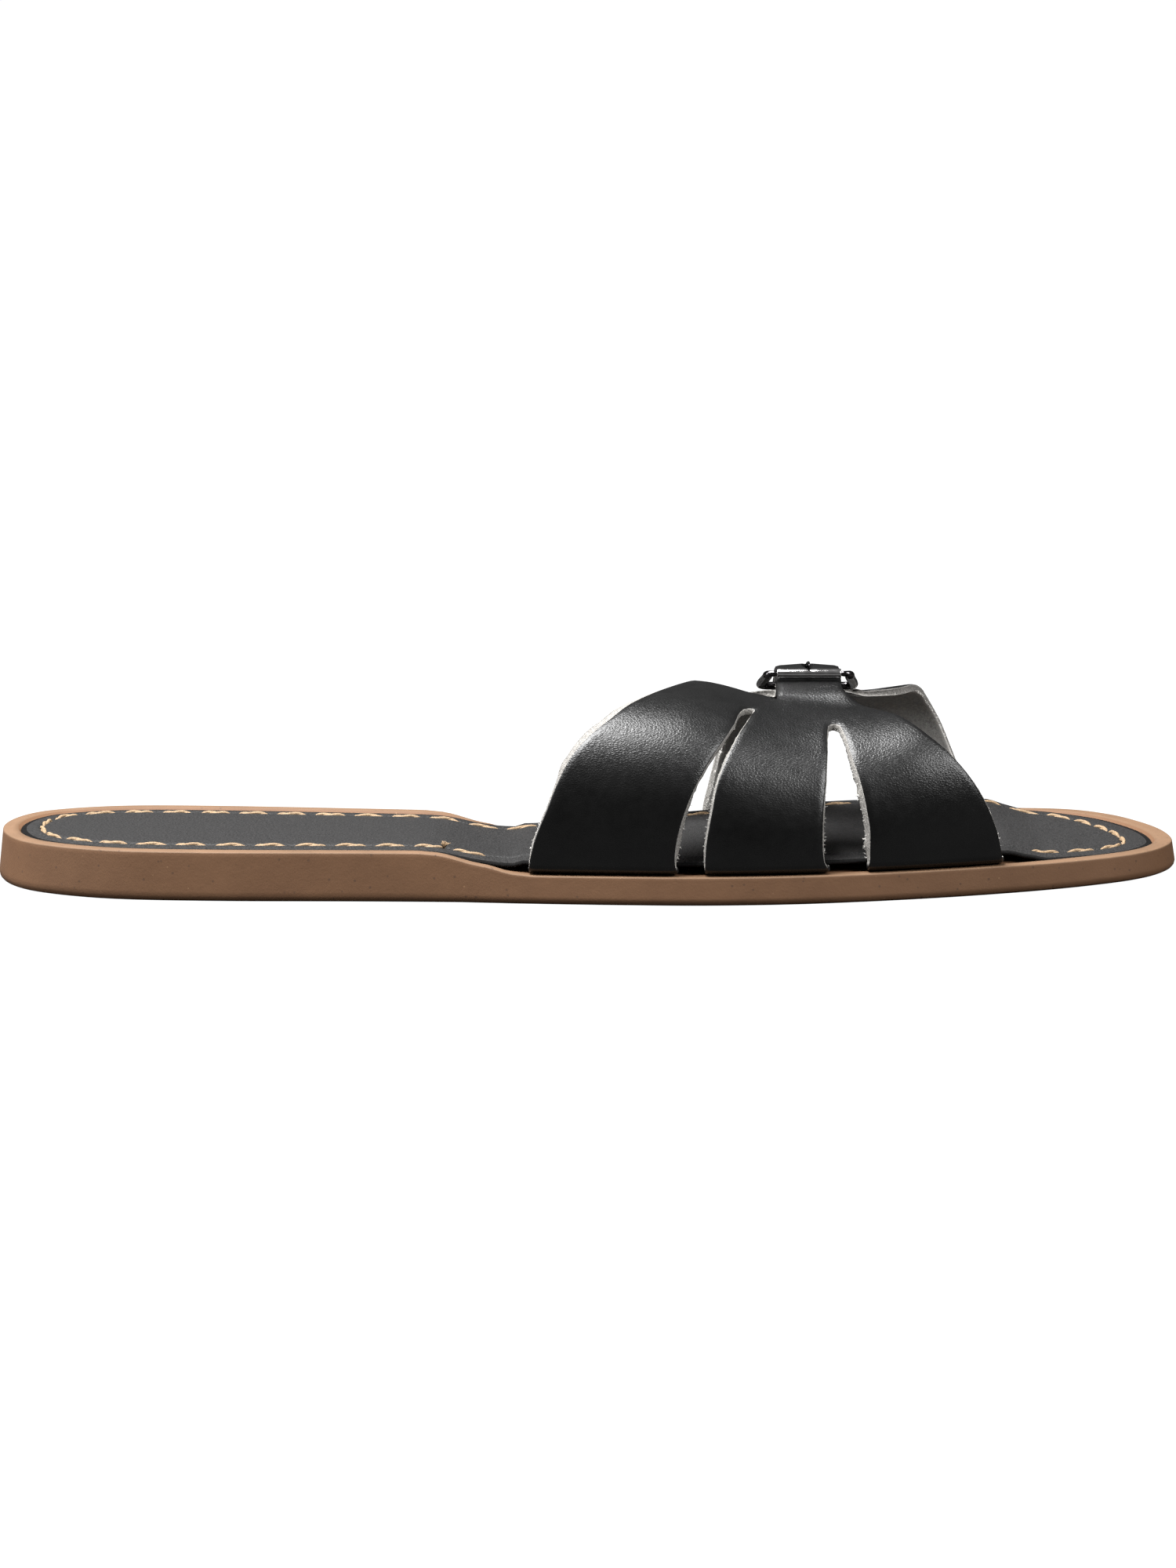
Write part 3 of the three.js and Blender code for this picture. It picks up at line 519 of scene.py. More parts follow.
def outward_normals(panel, station, rise, step=0.05):
    across = outer_points(panel, station + step, rise) - outer_points(panel, station - step, rise)
    up = outer_points(panel, station, rise + step) - outer_points(panel, station, rise - step)
    normal = unit(np.cross(across, up))
    return normal if panel["side"] == "lateral" else -normal


def thickness_at(panel, station, rise):
    past = rise - rise_at(station, panel["side"], panel["root_y"])
    skived = ease(past, *SKIVE_EASE) if panel["side"] == "medial" else 0
    margin = 1 - ease(rise, *MARGIN_EASE)
    return mix(LEATHER, LEATHER_SKIVED, np.maximum(skived, margin))


# Leather panels

LEG_COLUMNS = dict(rear=34, middle=26, front=32)
ROW_STEP = 0.85
STRAP_ROW_STEP = 0.6
ROW_APART = 0.02
SLOT_END_RADIUS = 1.1
SLOT_END_STEPS = 6
SLOT_END_WIDER, SLOT_WIDENS_BELOW, SLOT_WIDENS_OVER = 0.5, 9, 8
STRAP_ROWS_FROM, LOBE_FROM = 37, 26
TIP_LENGTH, TIP_NARROWER, TIP_SHIFT = 6, 3.2, 1
EDGE_CROWDING = 0.65


def panel_rows(panel):
    rows = list(np.arange(-MARGIN_LENGTH, panel["root_row"] - 0.3, ROW_STEP))
    for top in (panel["slot1_top"], panel["slot2_top"]):
        turns = np.linspace(0, math.pi / 2, SLOT_END_STEPS)
        rows += [top - SLOT_END_RADIUS * (1 - math.sin(a)) for a in turns]
    rows += [panel["lobe_row"], panel["root_row"], TURN_RADIUS]
    fixed = {round(panel[key], 4) for key in ("slot1_top", "slot2_top", "lobe_row", "root_row")}
    kept = []
    for row in np.unique(np.round(rows, 4)):
        if not kept or row - kept[-1] >= ROW_APART or row in fixed:
            kept.append(row)
    return np.array(kept)


def rise_of_row(panel, station, row):
    """Near the strap a row follows the strap's own length."""
    on_strap = rise_at(station, panel["side"], panel["root_y"]) + panel["root_past"] + row - panel["root_row"]
    return mix(row, on_strap, ease(row, STRAP_ROWS_FROM, panel["root_row"] - STRAP_ROWS_FROM))


def corners(panel, cut, row):
    """Corner stations of a row, with the ends of the slots rounded."""
    at = max(0, row)
    lobe = float(ease(row, LOBE_FROM, panel["lobe_row"] - LOBE_FROM))
    rear_rise = mix(row, panel["lobe_rise"], lobe)

    def slot(rear, front, top):
        a, b = float(cut[rear](at)), float(cut[front](at))
        middle = (a + b) / 2
        if row >= top:
            return middle, middle
        into_end = max(0.0, (row - top + SLOT_END_RADIUS) / SLOT_END_RADIUS)
        wider = float(smooth((row - top + SLOT_WIDENS_BELOW) / SLOT_WIDENS_OVER))
        half = ((b - a) / 2 + SLOT_END_WIDER * wider) * math.sqrt(1 - into_end ** 2)
        return middle - half, middle + half

    rear = float(cut["rear"](max(0, rear_rise)))
    front = float(cut["front"](at))
    first = slot("slot1_rear", "slot1_front", panel["slot1_top"])
    second = slot("slot2_rear", "slot2_front", panel["slot2_top"])
    return rear, rear_rise, first, second, front, lobe


def spread(count):
    """Steps across a leg, closer together near its cut edges."""
    u = np.linspace(0, 1, count + 1)
    return mix(u, (1 - np.cos(np.pi * u)) / 2, EDGE_CROWDING)


def panel_patches(panel):
    """Grids of stations and rises for the legs and the strap."""
    table = named(panel["cut"], CUT_COLUMNS)
    cut = {key: curve(table["rise"], table[key]) for key in CUT_COLUMNS[1:]}
    patches = {name: [] for name in ("rear", "middle", "front", "strap_middle", "strap_front")}

    def lay(prefix, row, **spans):
        for name, (low, high) in spans.items():
            station = mix(low, high, spread(LEG_COLUMNS[name]))
            patches[prefix + name].append(np.stack([station, rise_of_row(panel, station, row)], 1))

    for row in panel_rows(panel):
        rear, rear_rise, first, second, front, lobe = corners(panel, cut, row)
        if row <= panel["lobe_row"]:
            t = spread(LEG_COLUMNS["rear"])
            station = mix(rear, first[0], t)
            edge = rise_of_row(panel, station[-1:], row)[0]
            rise = mix(rear_rise, edge, t) + panel["lobe_bulge"] * lobe * t * (1 - t) ** 2
            patches["rear"].append(np.stack([station, rise], 1))
        lay("", row, middle=(first[1], second[0]), front=(second[1], front))
    length = STRAP_PATHS[panel["side"]][2][-1] - panel["root_past"]
    root = panel["root_row"]
    for row in np.linspace(root, root + length, round(length / STRAP_ROW_STEP) + 1):
        _, _, first, second, front, _ = corners(panel, cut, row)
        tip = float(smooth((row - root - length + TIP_LENGTH) / TIP_LENGTH)) ** 2
        narrow = TIP_NARROWER * tip if panel["side"] == "lateral" else 0
        middle = mix(second[0], STRAP_CENTRE + TIP_SHIFT, tip)
        lay("strap_", row, middle=(first[1] + narrow, middle), front=(middle, front - narrow))
    return patches


def weld(patches):
    """One list of places for patches that share edges, and its quads."""
    numbers, order, quads, offset = {}, [], [], 0
    for grid in patches.values():
        index = []
        for r, row in enumerate(grid):
            line = []
            for c, spot in enumerate(row):
                key = (round(spot[0], 3), round(spot[1], 3))
                if key not in numbers:
                    numbers[key] = len(order)
                    order.append(offset + r * len(row) + c)
                line.append(numbers[key])
            index.append(line)
        offset += len(grid) * len(grid[0])
        for low, high in zip(index, index[1:]):
            quads += [(low[c], low[c + 1], high[c + 1], high[c]) for c in range(len(low) - 1)]
    return np.array(order), quads


def corners_of(quad):
    """A quad's points, each once where an edge has shrunk to a point."""
    return [v for k, v in enumerate(quad) if v != quad[(k + 1) % 4]]


def open_edges(quads):
    """Edges that have a quad on one side alone, in its own turn."""
    found = {}
    for ring in map(corners_of, quads):
        for k, v in enumerate(ring):
            w = ring[(k + 1) % len(ring)]
            if (w, v) in found:
                del found[(w, v)]
            else:
                found[(v, w)] = True
    return list(found)


def walked(follows):
    """Points of the cut edges in order, one edge after the other."""
    rim, left = [], set(follows)
    while left:
        v = min(left)
        while v in left:
            left.discard(v)
            rim.append(v)
            v = follows[v]
    return np.array(rim)


CUT_STRIPS = 4
EDGE_ROLL, EDGE_ROLL_WIDTH = 0.2, 0.6
RAGGED_SLOW, RAGGED_QUICK = 0.10, 0.06
PROUD_LIFT = 0.12
CUT_ROUGH, CUT_BULGE, CUT_LEAN = 0.045, 0.14, 0.4
# Where the strap's cut edges take painted shade by the buckle: across the strap, and up its rise
SHADE_ACROSS, SHADE_RISES = (-STRAP_HALF - 3, 2), (44, 4)
PANEL_SEEDS = dict(lateral=7, medial=11)
LEG_EDGES = dict(
    rear=("rear", "slot1_rear"), middle=("slot1_front", "slot2_rear"), front=("slot2_front", "front"),
)
FIBRES = []


def flesh_proud(patches, side):
    """How far each point's flesh side would stand out, were it on a cut edge."""
    table = named(PROUD_ROWS, CUT_COLUMNS)
    proud = []
    for name, grid in patches.items():
        left, right = LEG_EDGES.get(name, ("front", "front"))
        rear_share = MEDIAL_REAR_PROUD if side == "medial" and left == "rear" else 1
        rise = np.array(grid)[:, :, 1]
        amount = np.repeat(np.interp(rise[:, -1:], table["rise"], table[right]), rise.shape[1], axis=1)
        half = rise.shape[1] // 2
        amount[:, :half] = rear_share * np.interp(rise[:, :half], table["rise"], table[left])
        proud.append(amount.ravel())
    return np.concatenate(proud)


def wander(rng, count, run):
    """Uneven values that change slowly over a run of points."""
    raw = rng.normal(0, 1, count + 2 * run)
    return np.convolve(raw, np.hanning(run * 2 + 1) / run ** 0.5, mode="same")[run:run + count]


def leather_panel(panel, name, materials, replaces):
    """Grain side, flesh side and rough cut edges of one panel."""
    rng = np.random.default_rng(PANEL_SEEDS[panel["side"]])
    patches = panel_patches(panel)
    order, quads = weld(patches)
    spots = np.concatenate([np.concatenate(g) for g in patches.values()])[order]
    proud = flesh_proud(patches, panel["side"])[order]
    station, rise = spots.T
    outer = outer_points(panel, station, rise)
    normal = outward_normals(panel, station, rise)
    inner = outer - normal * thickness_at(panel, station, rise)[:, None]
    edges = open_edges(quads)
    rim = walked(dict(edges))
    number = {v: k for k, v in enumerate(rim.tolist())}
    outward = np.zeros((len(rim), 3))
    for v, w in edges:
        side = np.cross(outer[w] - outer[v], normal[v])
        outward[number[v]] += side
        outward[number[w]] += side
    outward = unit(outward)

    tree = KDTree(len(rim))
    for v in rim.tolist():
        tree.insert(outer[v], v)
    tree.balance()
    distance = np.array([tree.find(p)[2] for p in outer])
    ragged = RAGGED_SLOW * wander(rng, len(rim), 2) + RAGGED_QUICK * rng.normal(0, 1, len(rim))
    reach = np.clip(proud[rim] + ragged * np.clip(proud[rim] * 1.5, 0, 1), 0, None)
    lifted = normal[rim] * (PROUD_LIFT * np.minimum(reach, 1))[:, None]
    inner_rim = inner[rim] + outward * reach[:, None] + lifted
    outer = outer - normal * (EDGE_ROLL * np.exp(-(distance / EDGE_ROLL_WIDTH) ** 2))[:, None]
    inner[rim] = inner_rim

    count = len(outer)
    strips = []
    for k in range(1, CUT_STRIPS):
        t = k / CUT_STRIPS
        rough = rng.normal(0, CUT_ROUGH, len(rim)) * (0.3 + t) + CUT_BULGE * math.sin(math.pi * t)
        strips.append(mix(outer[rim], inner_rim, t) + (outward + normal[rim] * CUT_LEAN) * rough[:, None])
    points = np.concatenate([outer, inner, *strips])

    def layer(v, k):
        if k == 0:
            return v
        if k == CUT_STRIPS:
            return v + count
        return 2 * count + (k - 1) * len(rim) + number[v]

    faces, kinds = [], []
    for ring in map(corners_of, quads):
        faces += [ring, [v + count for v in reversed(ring)]]
        kinds += [0, 2]
    for v, w in edges:
        for k in range(CUT_STRIPS):
            faces.append((layer(w, k), layer(v, k), layer(v, k + 1), layer(w, k + 1)))
            kinds.append(1)
    if panel["side"] == "medial":
        faces = [f[::-1] for f in faces]
    piece = make_piece(name, points, faces, materials, kinds, "upper", replaces)
    # strap is 1 on the strap's cut edges by the buckle, where the cut-edge material paints shade
    strap = ease(-np.abs(station - STRAP_CENTRE), *SHADE_ACROSS) * ease(rise, *SHADE_RISES)
    for key, values in (("rise", rise), ("strap", strap), ("from_edge", distance)):
        values = np.concatenate([values, values, *[values[rim]] * (CUT_STRIPS - 1)])
        attribute = piece.data.attributes.new(key, "FLOAT", "POINT")
        attribute.data.foreach_set("value", values.astype(np.float32))
    lay_fibres(rng, panel, inner_rim, outward, normal[rim], rise[rim], proud[rim])
    return piece


FIBRE_TOP = dict(lateral=40, medial=60)
LEAST_PROUD = 0.12
TUFT_SHARE, TUFT_FIBRES = 0.035, 9
FIBRE_RADII = (0.055, 0.045, 0.02)


def lay_fibres(rng, panel, root, outward, normal, rise, proud):
    """Loose fibres and small tufts on the cut edges, longer low on the legs."""
    for k in range(len(root)):
        if not 1 < rise[k] < FIBRE_TOP[panel["side"]] or proud[k] < LEAST_PROUD:
            continue
        tuft = rng.random() < TUFT_SHARE
        for _ in range(TUFT_FIBRES if tuft else rng.integers(0, 4)):
            size = rng.uniform(0.25, 0.75) * (1.0 if rise[k] < 20 else 0.55) * (1.15 if tuft else 1)
            way = outward[k] * rng.uniform(0.3, 1.0) + rng.normal(0, 0.5, 3) - normal[k] * rng.uniform(0, 0.5)
            way *= size / np.linalg.norm(way)
            bend = rng.normal(0, 0.12, 3)
            start = root[k] - outward[k] * 0.12 + normal[k] * rng.uniform(0.0, 0.7) * min(1, proud[k] + 0.5)
            line = [start, start + way * 0.5 + bend * size, start + way]
            FIBRES.append(rod(line, FIBRE_RADII, 4))


PUNCH_SIDES = 32
PUNCH_WIDTH = 2.6


def punch(piece, y, length, z, height):
    """Cuts the opening for the prong through a strap."""
    turns = full_turn(PUNCH_SIDES)
    x, y = STRAP_CENTRE + PUNCH_WIDTH / 2 * np.cos(turns), y + length / 2 * np.sin(turns)
    ends = [np.column_stack([x, y, np.full(PUNCH_SIDES, z + way * height / 2)]) for way in (-1, 1)]
    faces = ring_faces(PUNCH_SIDES, 2)
    faces += [tuple(range(PUNCH_SIDES - 1, -1, -1)), tuple(range(PUNCH_SIDES, 2 * PUNCH_SIDES))]
    cutter = add_mesh("cutter", place(np.concatenate(ends)), faces, CUT_EDGE)
    cut = piece.modifiers.new("hole", "BOOLEAN")
    cut.operation = "DIFFERENCE"
    cut.object = cutter
    cut.material_mode = "TRANSFER"
    bpy.context.view_layer.objects.active = piece
    bpy.ops.object.modifier_apply(modifier=cut.name)
    bpy.data.objects.remove(cutter)


# Rods: thread, wire and fibres

def rod(points, radius, sides, closed=False, flatten=None, start=None):
    """A tube along points; flatten gives the section's two half sizes at each."""
    points = np.asarray(points, float)
    count = len(points)
    before, after = np.roll(points, 1, 0), np.roll(points, -1, 0)
    if not closed:
        before[0], after[-1] = points[0], points[-1]
    tangent = unit(after - before)
    reference = np.cross([0, 0, 1.0], tangent[0]) if start is None else np.array(start, float)
    if np.linalg.norm(reference) < 1e-6:
        reference = np.array([1.0, 0, 0])
    radius = np.broadcast_to(radius, (count,))
    angles = 2 * math.pi * np.arange(sides) / sides
    rings = []
    for k in range(count):
        reference = reference - tangent[k] * (reference @ tangent[k])
        reference = reference / np.linalg.norm(reference)
        other = np.cross(tangent[k], reference)
        a, b = (radius[k], radius[k]) if flatten is None else flatten[k]
        ring = points[k] + np.outer(np.cos(angles), reference) * a
        rings.append(ring + np.outer(np.sin(angles), other) * b)
    vertices = np.concatenate(rings)
    faces = ring_faces(sides, count)
    if closed:
        faces += closing_faces(sides, count)
    else:
        faces += [tuple(range(sides - 1, -1, -1)), tuple(range((count - 1) * sides, count * sides))]
    return vertices, faces


def joined(parts):
    """Several lists of points and faces as one."""
    points, faces, offset = [], [], 0
    for part_points, part_faces in parts:
        points.append(part_points)
        faces += [tuple(v + offset for v in f) for f in part_faces]
        offset += len(part_points)
    return np.concatenate(points), faces


# Materials

def srgb(red, green, blue):
    """A colour given as it shows on a screen, 0 to 255 each, as a linear one."""
    values = (red / 255, green / 255, blue / 255)
    return (*(v / 12.92 if v <= 0.04045 else ((v + 0.055) / 1.055) ** 2.4 for v in values), 1.0)


# Sockets of a mix node that mixes colours
MIX_FACTOR, MIX_A, MIX_B, MIX_RESULT = 0, 6, 7, 2


class Nodes:
    """A tree of nodes, and short ways to add to it."""

    def __init__(self, tree):
        self.tree = tree

    def plug(self, socket, value):
        if isinstance(value, bpy.types.NodeSocket):
            self.tree.links.new(value, socket)
        else:
            socket.default_value = value

    def node(self, kind, inputs=None, **settings):
        node = self.tree.nodes.new(kind)
        for key, value in settings.items():
            setattr(node, key, value)
        for key, value in (inputs or {}).items():
            self.plug(node.inputs[key], value)
        return node

    def remap(self, value, low, high, to_low=0.0, to_high=1.0):
        inputs = {"Value": value, "From Min": low, "From Max": high, "To Min": to_low, "To Max": to_high}
        return self.node("ShaderNodeMapRange", inputs).outputs["Result"]

    def maths(self, operation, a, b):
        return self.node("ShaderNodeMath", {0: a, 1: b}, operation=operation).outputs["Value"]

    def seen(self):
        """1 where the camera sees a thing directly, or else 0."""
        return self.node("ShaderNodeLightPath").outputs["Is Camera Ray"]


class Shader(Nodes):
    """A material with its surface node."""

    def __init__(self, name, roughness=0.5, specular=0.5, metallic=0.0):
        self.material = bpy.data.materials.new(name)
        self.material.use_nodes = True
        super().__init__(self.material.node_tree)
        self.surface = self.tree.nodes["Principled BSDF"]
        self.where = self.node("ShaderNodeTexCoord").outputs["Object"]
        self.set(Roughness=roughness, Specular_IOR_Level=specular, Metallic=metallic)

    def set(self, **values):
        for key, value in values.items():
            self.plug(self.surface.inputs[key.replace("_", " ")], value)

    def noise(self, cell, detail=3.0, roughness=0.55):
        """Noise with features about as big as the cell, in millimetres."""
        inputs = {"Vector": self.where, "Scale": 1000 / cell, "Detail": detail, "Roughness": roughness}
        return self.node("ShaderNodeTexNoise", inputs).outputs["Fac"]

    def cells(self, cell, feature="F1", where=None):
        inputs = {"Vector": where or self.where, "Scale": 1000 / cell}
        return self.node("ShaderNodeTexVoronoi", inputs, feature=feature).outputs["Distance"]

    def vectors(self, operation, a, b):
        return self.node("ShaderNodeVectorMath", {0: a, 1: b}, operation=operation).outputs["Vector"]

    def blend(self, factor, a, b):
        inputs = {MIX_FACTOR: factor, MIX_A: a, MIX_B: b}
        return self.node("ShaderNodeMix", inputs, data_type="RGBA").outputs[MIX_RESULT]

    def mottle(self, value, dark, pale, low=0.35, high=0.7):
        """From the dark colour to the pale one while a value goes from low to high."""
        return self.blend(self.remap(value, low, high), srgb(*dark), srgb(*pale))

    def attribute(self, name):
        return self.node("ShaderNodeAttribute", attribute_name=name).outputs["Fac"]

    def made(self, colour, *bumps):
        """The material with its colour and bumps of (height, depth in millimetres)."""
        self.set(Base_Color=colour)
        normal = {}
        for height, depth in bumps:
            inputs = {"Height": height, "Distance": depth / 1000, "Strength": 1.0}
            normal = {"Normal": self.node("ShaderNodeBump", {**inputs, **normal}).outputs["Normal"]}
        self.set(**normal)
        return self.material


def rubber(name, base, light):
    shader = Shader(name, 0.72, 0.35)
    colour = shader.mottle(shader.noise(11, 4), base, light)
    dark = shader.remap(shader.cells(2.6), 0.13, 0.08, 0.0, 0.55)
    colour = shader.blend(dark, colour, srgb(62, 45, 33))
    pale = shader.remap(shader.cells(4.1), 0.05, 0.03, 0.0, 0.35)
    colour = shader.blend(pale, colour, srgb(150, 118, 88))
    return shader.made(colour, (shader.noise(0.5, 4), 0.03), (shader.noise(3.0, 3), 0.05))


PEBBLE = 0.46
PEBBLE_STRETCH = (0.62, 0.9, 1.0)
WARP_SCALE, WARP_SIZE = 900.0, (0.0003, 0.0003, 0.0003)


def leather_grain():
    shader = Shader("grain", specular=0.4)
    colour = shader.mottle(shader.noise(9, 3), (5, 5, 5), (9, 9, 9))
    inputs = {"Vector": shader.where, "Scale": WARP_SCALE, "Detail": 2.0}
    warp = shader.node("ShaderNodeTexNoise", inputs).outputs["Color"]
    where = shader.vectors("ADD", shader.where, shader.vectors("MULTIPLY", warp, WARP_SIZE))
    where = shader.vectors("MULTIPLY", where, PEBBLE_STRETCH)
    groove = shader.remap(shader.cells(PEBBLE, "DISTANCE_TO_EDGE", where), 0.0, 0.34)
    strength = shader.remap(shader.attribute("rise"), 10, 26, 0.2, 1.0)
    height = shader.maths("MULTIPLY", groove, strength)
    wear = shader.remap(shader.noise(2.2, 3), 0.3, 0.75, -0.03, 0.03)
    worn = shader.remap(shader.attribute("rise"), 8, 26, 0.27, 0.36)
    shader.set(Roughness=shader.maths("ADD", worn, wear))
    return shader.made(colour, (height, 0.03), (shader.noise(0.8, 2), 0.02), (shader.noise(5, 2), 0.07))


def leather_edge():
    shader = Shader("cut_edge", 0.9, 0.2)
    fibre = shader.noise(0.35, 5, 0.7)
    colour = shader.mottle(fibre, (90, 88, 86), (168, 165, 160))
    # Painted shade: the cut edges turn near-black where they tuck under at the sole and on the strap by the
    # buckle
    low = shader.remap(shader.attribute("rise"), 1.8, 0.8)
    dark = shader.maths("MAXIMUM", shader.attribute("strap"), low)
    return shader.made(shader.blend(dark, colour, srgb(22, 21, 21)), (fibre, 0.25))


def leather_flesh():
    shader = Shader("flesh", 0.95, 0.15)
    nap = shader.noise(0.6, 5, 0.7)
    broad = shader.noise(7, 3)
    colour = shader.mottle(nap, (128, 127, 125), (180, 178, 174), 0.3, 0.75)
    edge = shader.remap(shader.attribute("from_edge"), 1.3, 0.4, 0.0, 0.8)
    colour = shader.blend(edge, colour, srgb(216, 213, 208))
    colour = shader.blend(shader.remap(broad, 0.4, 0.7, 0.0, 0.35), colour, srgb(148, 147, 146))
    return shader.made(colour, (nap, 0.16), (broad, 0.25))


def insole_leather():
    shader = Shader("insole_leather", 0.62, 0.25)
    colour = shader.mottle(shader.noise(0.45, 4, 0.7), (6, 6, 6), (46, 45, 45))
    bumps = (shader.cells(0.42), 0.12), (shader.noise(0.9, 4), 0.2), (shader.noise(8, 3), 0.3)
    return shader.made(colour, *bumps)


def fibrous(name, shine, noise, colours, depth):
    """Mottled and roughened by one noise; shine is roughness and specular level."""
    shader = Shader(name, *shine)
    fibre = shader.noise(*noise)
    return shader.made(shader.mottle(fibre, *colours), (fibre, depth))


def chrome(name, tint):
    shader = Shader(name, metallic=1.0)
    wear = shader.noise(1.6, 4)
    shader.set(Roughness=shader.remap(wear, 0.35, 0.7, 0.10, 0.2))
    colour = shader.blend(wear, srgb(*tint), srgb(*(v + 24 for v in tint)))
    return shader.made(colour, (shader.noise(1.2, 2), 0.02))


def fibre_material():
    shader = Shader("fibre", 0.9, 0.2)
    return shader.made(shader.blend(shader.noise(0.8), srgb(186, 183, 178), srgb(244, 242, 237)))


def plain_floor():
    """Dark in reflections, and lifted to white where it is seen directly."""
    shader = Shader("floor", 0.9, 0.2)
    shader.set(Emission_Color=srgb(255, 255, 255), Emission_Strength=shader.seen())
    return shader.made(srgb(52, 52, 52))


GRAIN, CUT_EDGE, FLESH = leather_grain(), leather_edge(), leather_flesh()
RUBBER_WALL = rubber("rubber_wall", (93, 65, 43), (100, 71, 48))
RUBBER_RIM = rubber("rubber_rim", (94, 71, 51), (104, 79, 58))
INSOLE_TOP = insole_leather()
# Near-black: the insole's cut edge, darker than its top, and painted shade on the first 1.2 mm of the border
# where it curls down
RAW_EDGE_AND_SHADE = fibrous("raw_edge_and_shade", (0.9, 0.1), (0.5, 5, 0.7), ((4, 4, 4), (18, 17, 17)), 0.2)
THREAD = fibrous("thread", (0.7, 0.35), (0.35, 5, 0.65), ((92, 72, 52), (158, 134, 104), 0.3), 0.08)
# The frame and prong get chrome tinted near-black, a painted dark reflection; the roller keeps the bright
# chrome
DARKENED_CHROME, ROLLER_CHROME = chrome("chrome", (70, 68, 70)), chrome("roller_chrome", (206, 204, 204))
FIBRE = fibre_material()

# Sole

STITCH_INSET_ROWS = ((0, 8.7), (18, 8.9), (40, 9.4), (225, 9.4), (242, 10.2), (LENGTH, 10.8))


def stitch_inset(station):
    return np.interp(station, *np.array(STITCH_INSET_ROWS, float).T)


# Foot of the sole's wall: inset from the flared bottom edge, and height over the ground
FOOT_ROWS = ((3.0, 0), (1.5, 0), (1.0, 0.03), (0.55, 0.2), (0.2, 0.6), (0.02, 1.3))
WALL_BOTTOM, WALL_TOP, WALL_RINGS = 1.3, 0.35, 7
# Lip at the top of the wall: inset, and depth under the top edge
LIP_INSET = 0.5
LIP_ROWS = ((0, 0.3), (0.06, 0.12), (0.2, 0.02), (LIP_INSET, 0))


def build_outsole():
    rings = [(lambda s, x=inset: x - SOLE_DRAFT * edge_height(s), lambda s, z=height: spring(s) + z)
             for inset, height in FOOT_ROWS]
    for t in np.linspace(0.1, 0.92, WALL_RINGS):
        rings.append((lambda s, t=t: -SOLE_DRAFT * edge_height(s) * (1 - t),
                      lambda s, t=t: mix(spring(s) + WALL_BOTTOM, edge_height(s) - WALL_TOP, t)))
    wall_end = len(rings)
    rings += [(lambda s, x=inset: x, lambda s, z=depth: edge_height(s) - z) for inset, depth in LIP_ROWS]
    rings += [(lambda s: mix(LIP_INSET, rim_width(s) - GAP, 0.5), edge_height),
              (lambda s: rim_width(s) - GAP, edge_height), (rim_width, floor_height)]
    points, faces = sole_stack(rings)
    kinds = [int(wall_end <= k // len(RING_TURNS) < len(rings) - 2) for k in range(len(faces))]
    make_piece("rubber_outsole", points, faces, [RUBBER_WALL, RUBBER_RIM], kinds, "outsole", ("outsole",))


def insole_top(station):
    return insole_bottom(station) + INSOLE_THICKNESS


# Top of the insole: distance from its edge or from the seam, and depth under the middle
INSOLE_EDGE_ROWS = ((-0.05, 0.75), (0.08, 0.52), (0.4, 0.42), (1.2, 0.36), (2.6, 0.26))
SEAM_ROWS = ((-1.6, 0.1), (-1.0, 0.08), (-0.55, 0.3), (0, 0.52), (0.55, 0.28), (1.0, 0.04), (1.7, 0), (3, 0))
RAW_EDGE_AND_SHADE_RINGS = 4


def build_insole():
    def edge(station):
        return rim_width(station) + GAP

    def rows(table, base):
        return [(lambda s, x=inset: base(s) + x, lambda s, z=depth: insole_top(s) - z)
                for inset, depth in table]

    rings = [(edge, insole_bottom)] + rows(INSOLE_EDGE_ROWS, edge) + rows(SEAM_ROWS, stitch_inset)
    points, faces = sole_stack(rings)
    # The edge and the curled border take the near-black material: part cut edge, part painted shade
    kinds = [int(k < len(RING_TURNS) * RAW_EDGE_AND_SHADE_RINGS) for k in range(len(faces))]
    make_piece("leather_insole", points, faces, [INSOLE_TOP, RAW_EDGE_AND_SHADE], kinds, "insole", ("insole",))


# Stitches

SEAM_DEPTH = 0.28
STITCH_PITCH, STITCH_SHARE = 8.7, 0.9
UNSEWN = (108, 224)
PLY_STEPS, PLY_OFFSET, PLY_TWIST, PLY_DIP = 15, 0.24, 5.5, 0.75
PLY_END_RADIUS, PLY_SWELL = 0.12, 0.3


def seam():
    """The seam as a closed path on the insole, and the length run at each point."""
    plan = outline(stitch_inset)
    station = np.clip(plan[:, 0], 0, LENGTH)
    path = np.column_stack([plan, insole_top(station) - SEAM_DEPTH])
    path = np.concatenate([path, path[:1]])
    return path, run_length(path[:, :2])


def on_path(path, length, at):
    at = np.mod(at, length[-1])
    return np.stack([np.interp(at, length, path[:, k]) for k in range(3)], -1)


THREAD_END = (98.5, -23.9)
THREAD_END_HAIRS = 16


def thread_end(rng):
    """The frayed end of the thread, where the near seam stops at the waist."""
    root = np.array([*THREAD_END, insole_top(THREAD_END[0]) - 0.1])
    hairs = []
    for _ in range(THREAD_END_HAIRS):
        lean = rng.normal(0, 0.4, 2)
        middle = root + [lean[0] * 0.6, lean[1] * 0.6, rng.uniform(0.5, 0.8)]
        tip = middle + [lean[0] * 0.9, lean[1] * 0.9 - 0.2, rng.uniform(0.3, 0.9)]
        hairs.append(rod([root, middle, tip], (0.22, 0.19, 0.1), 6))
    return hairs


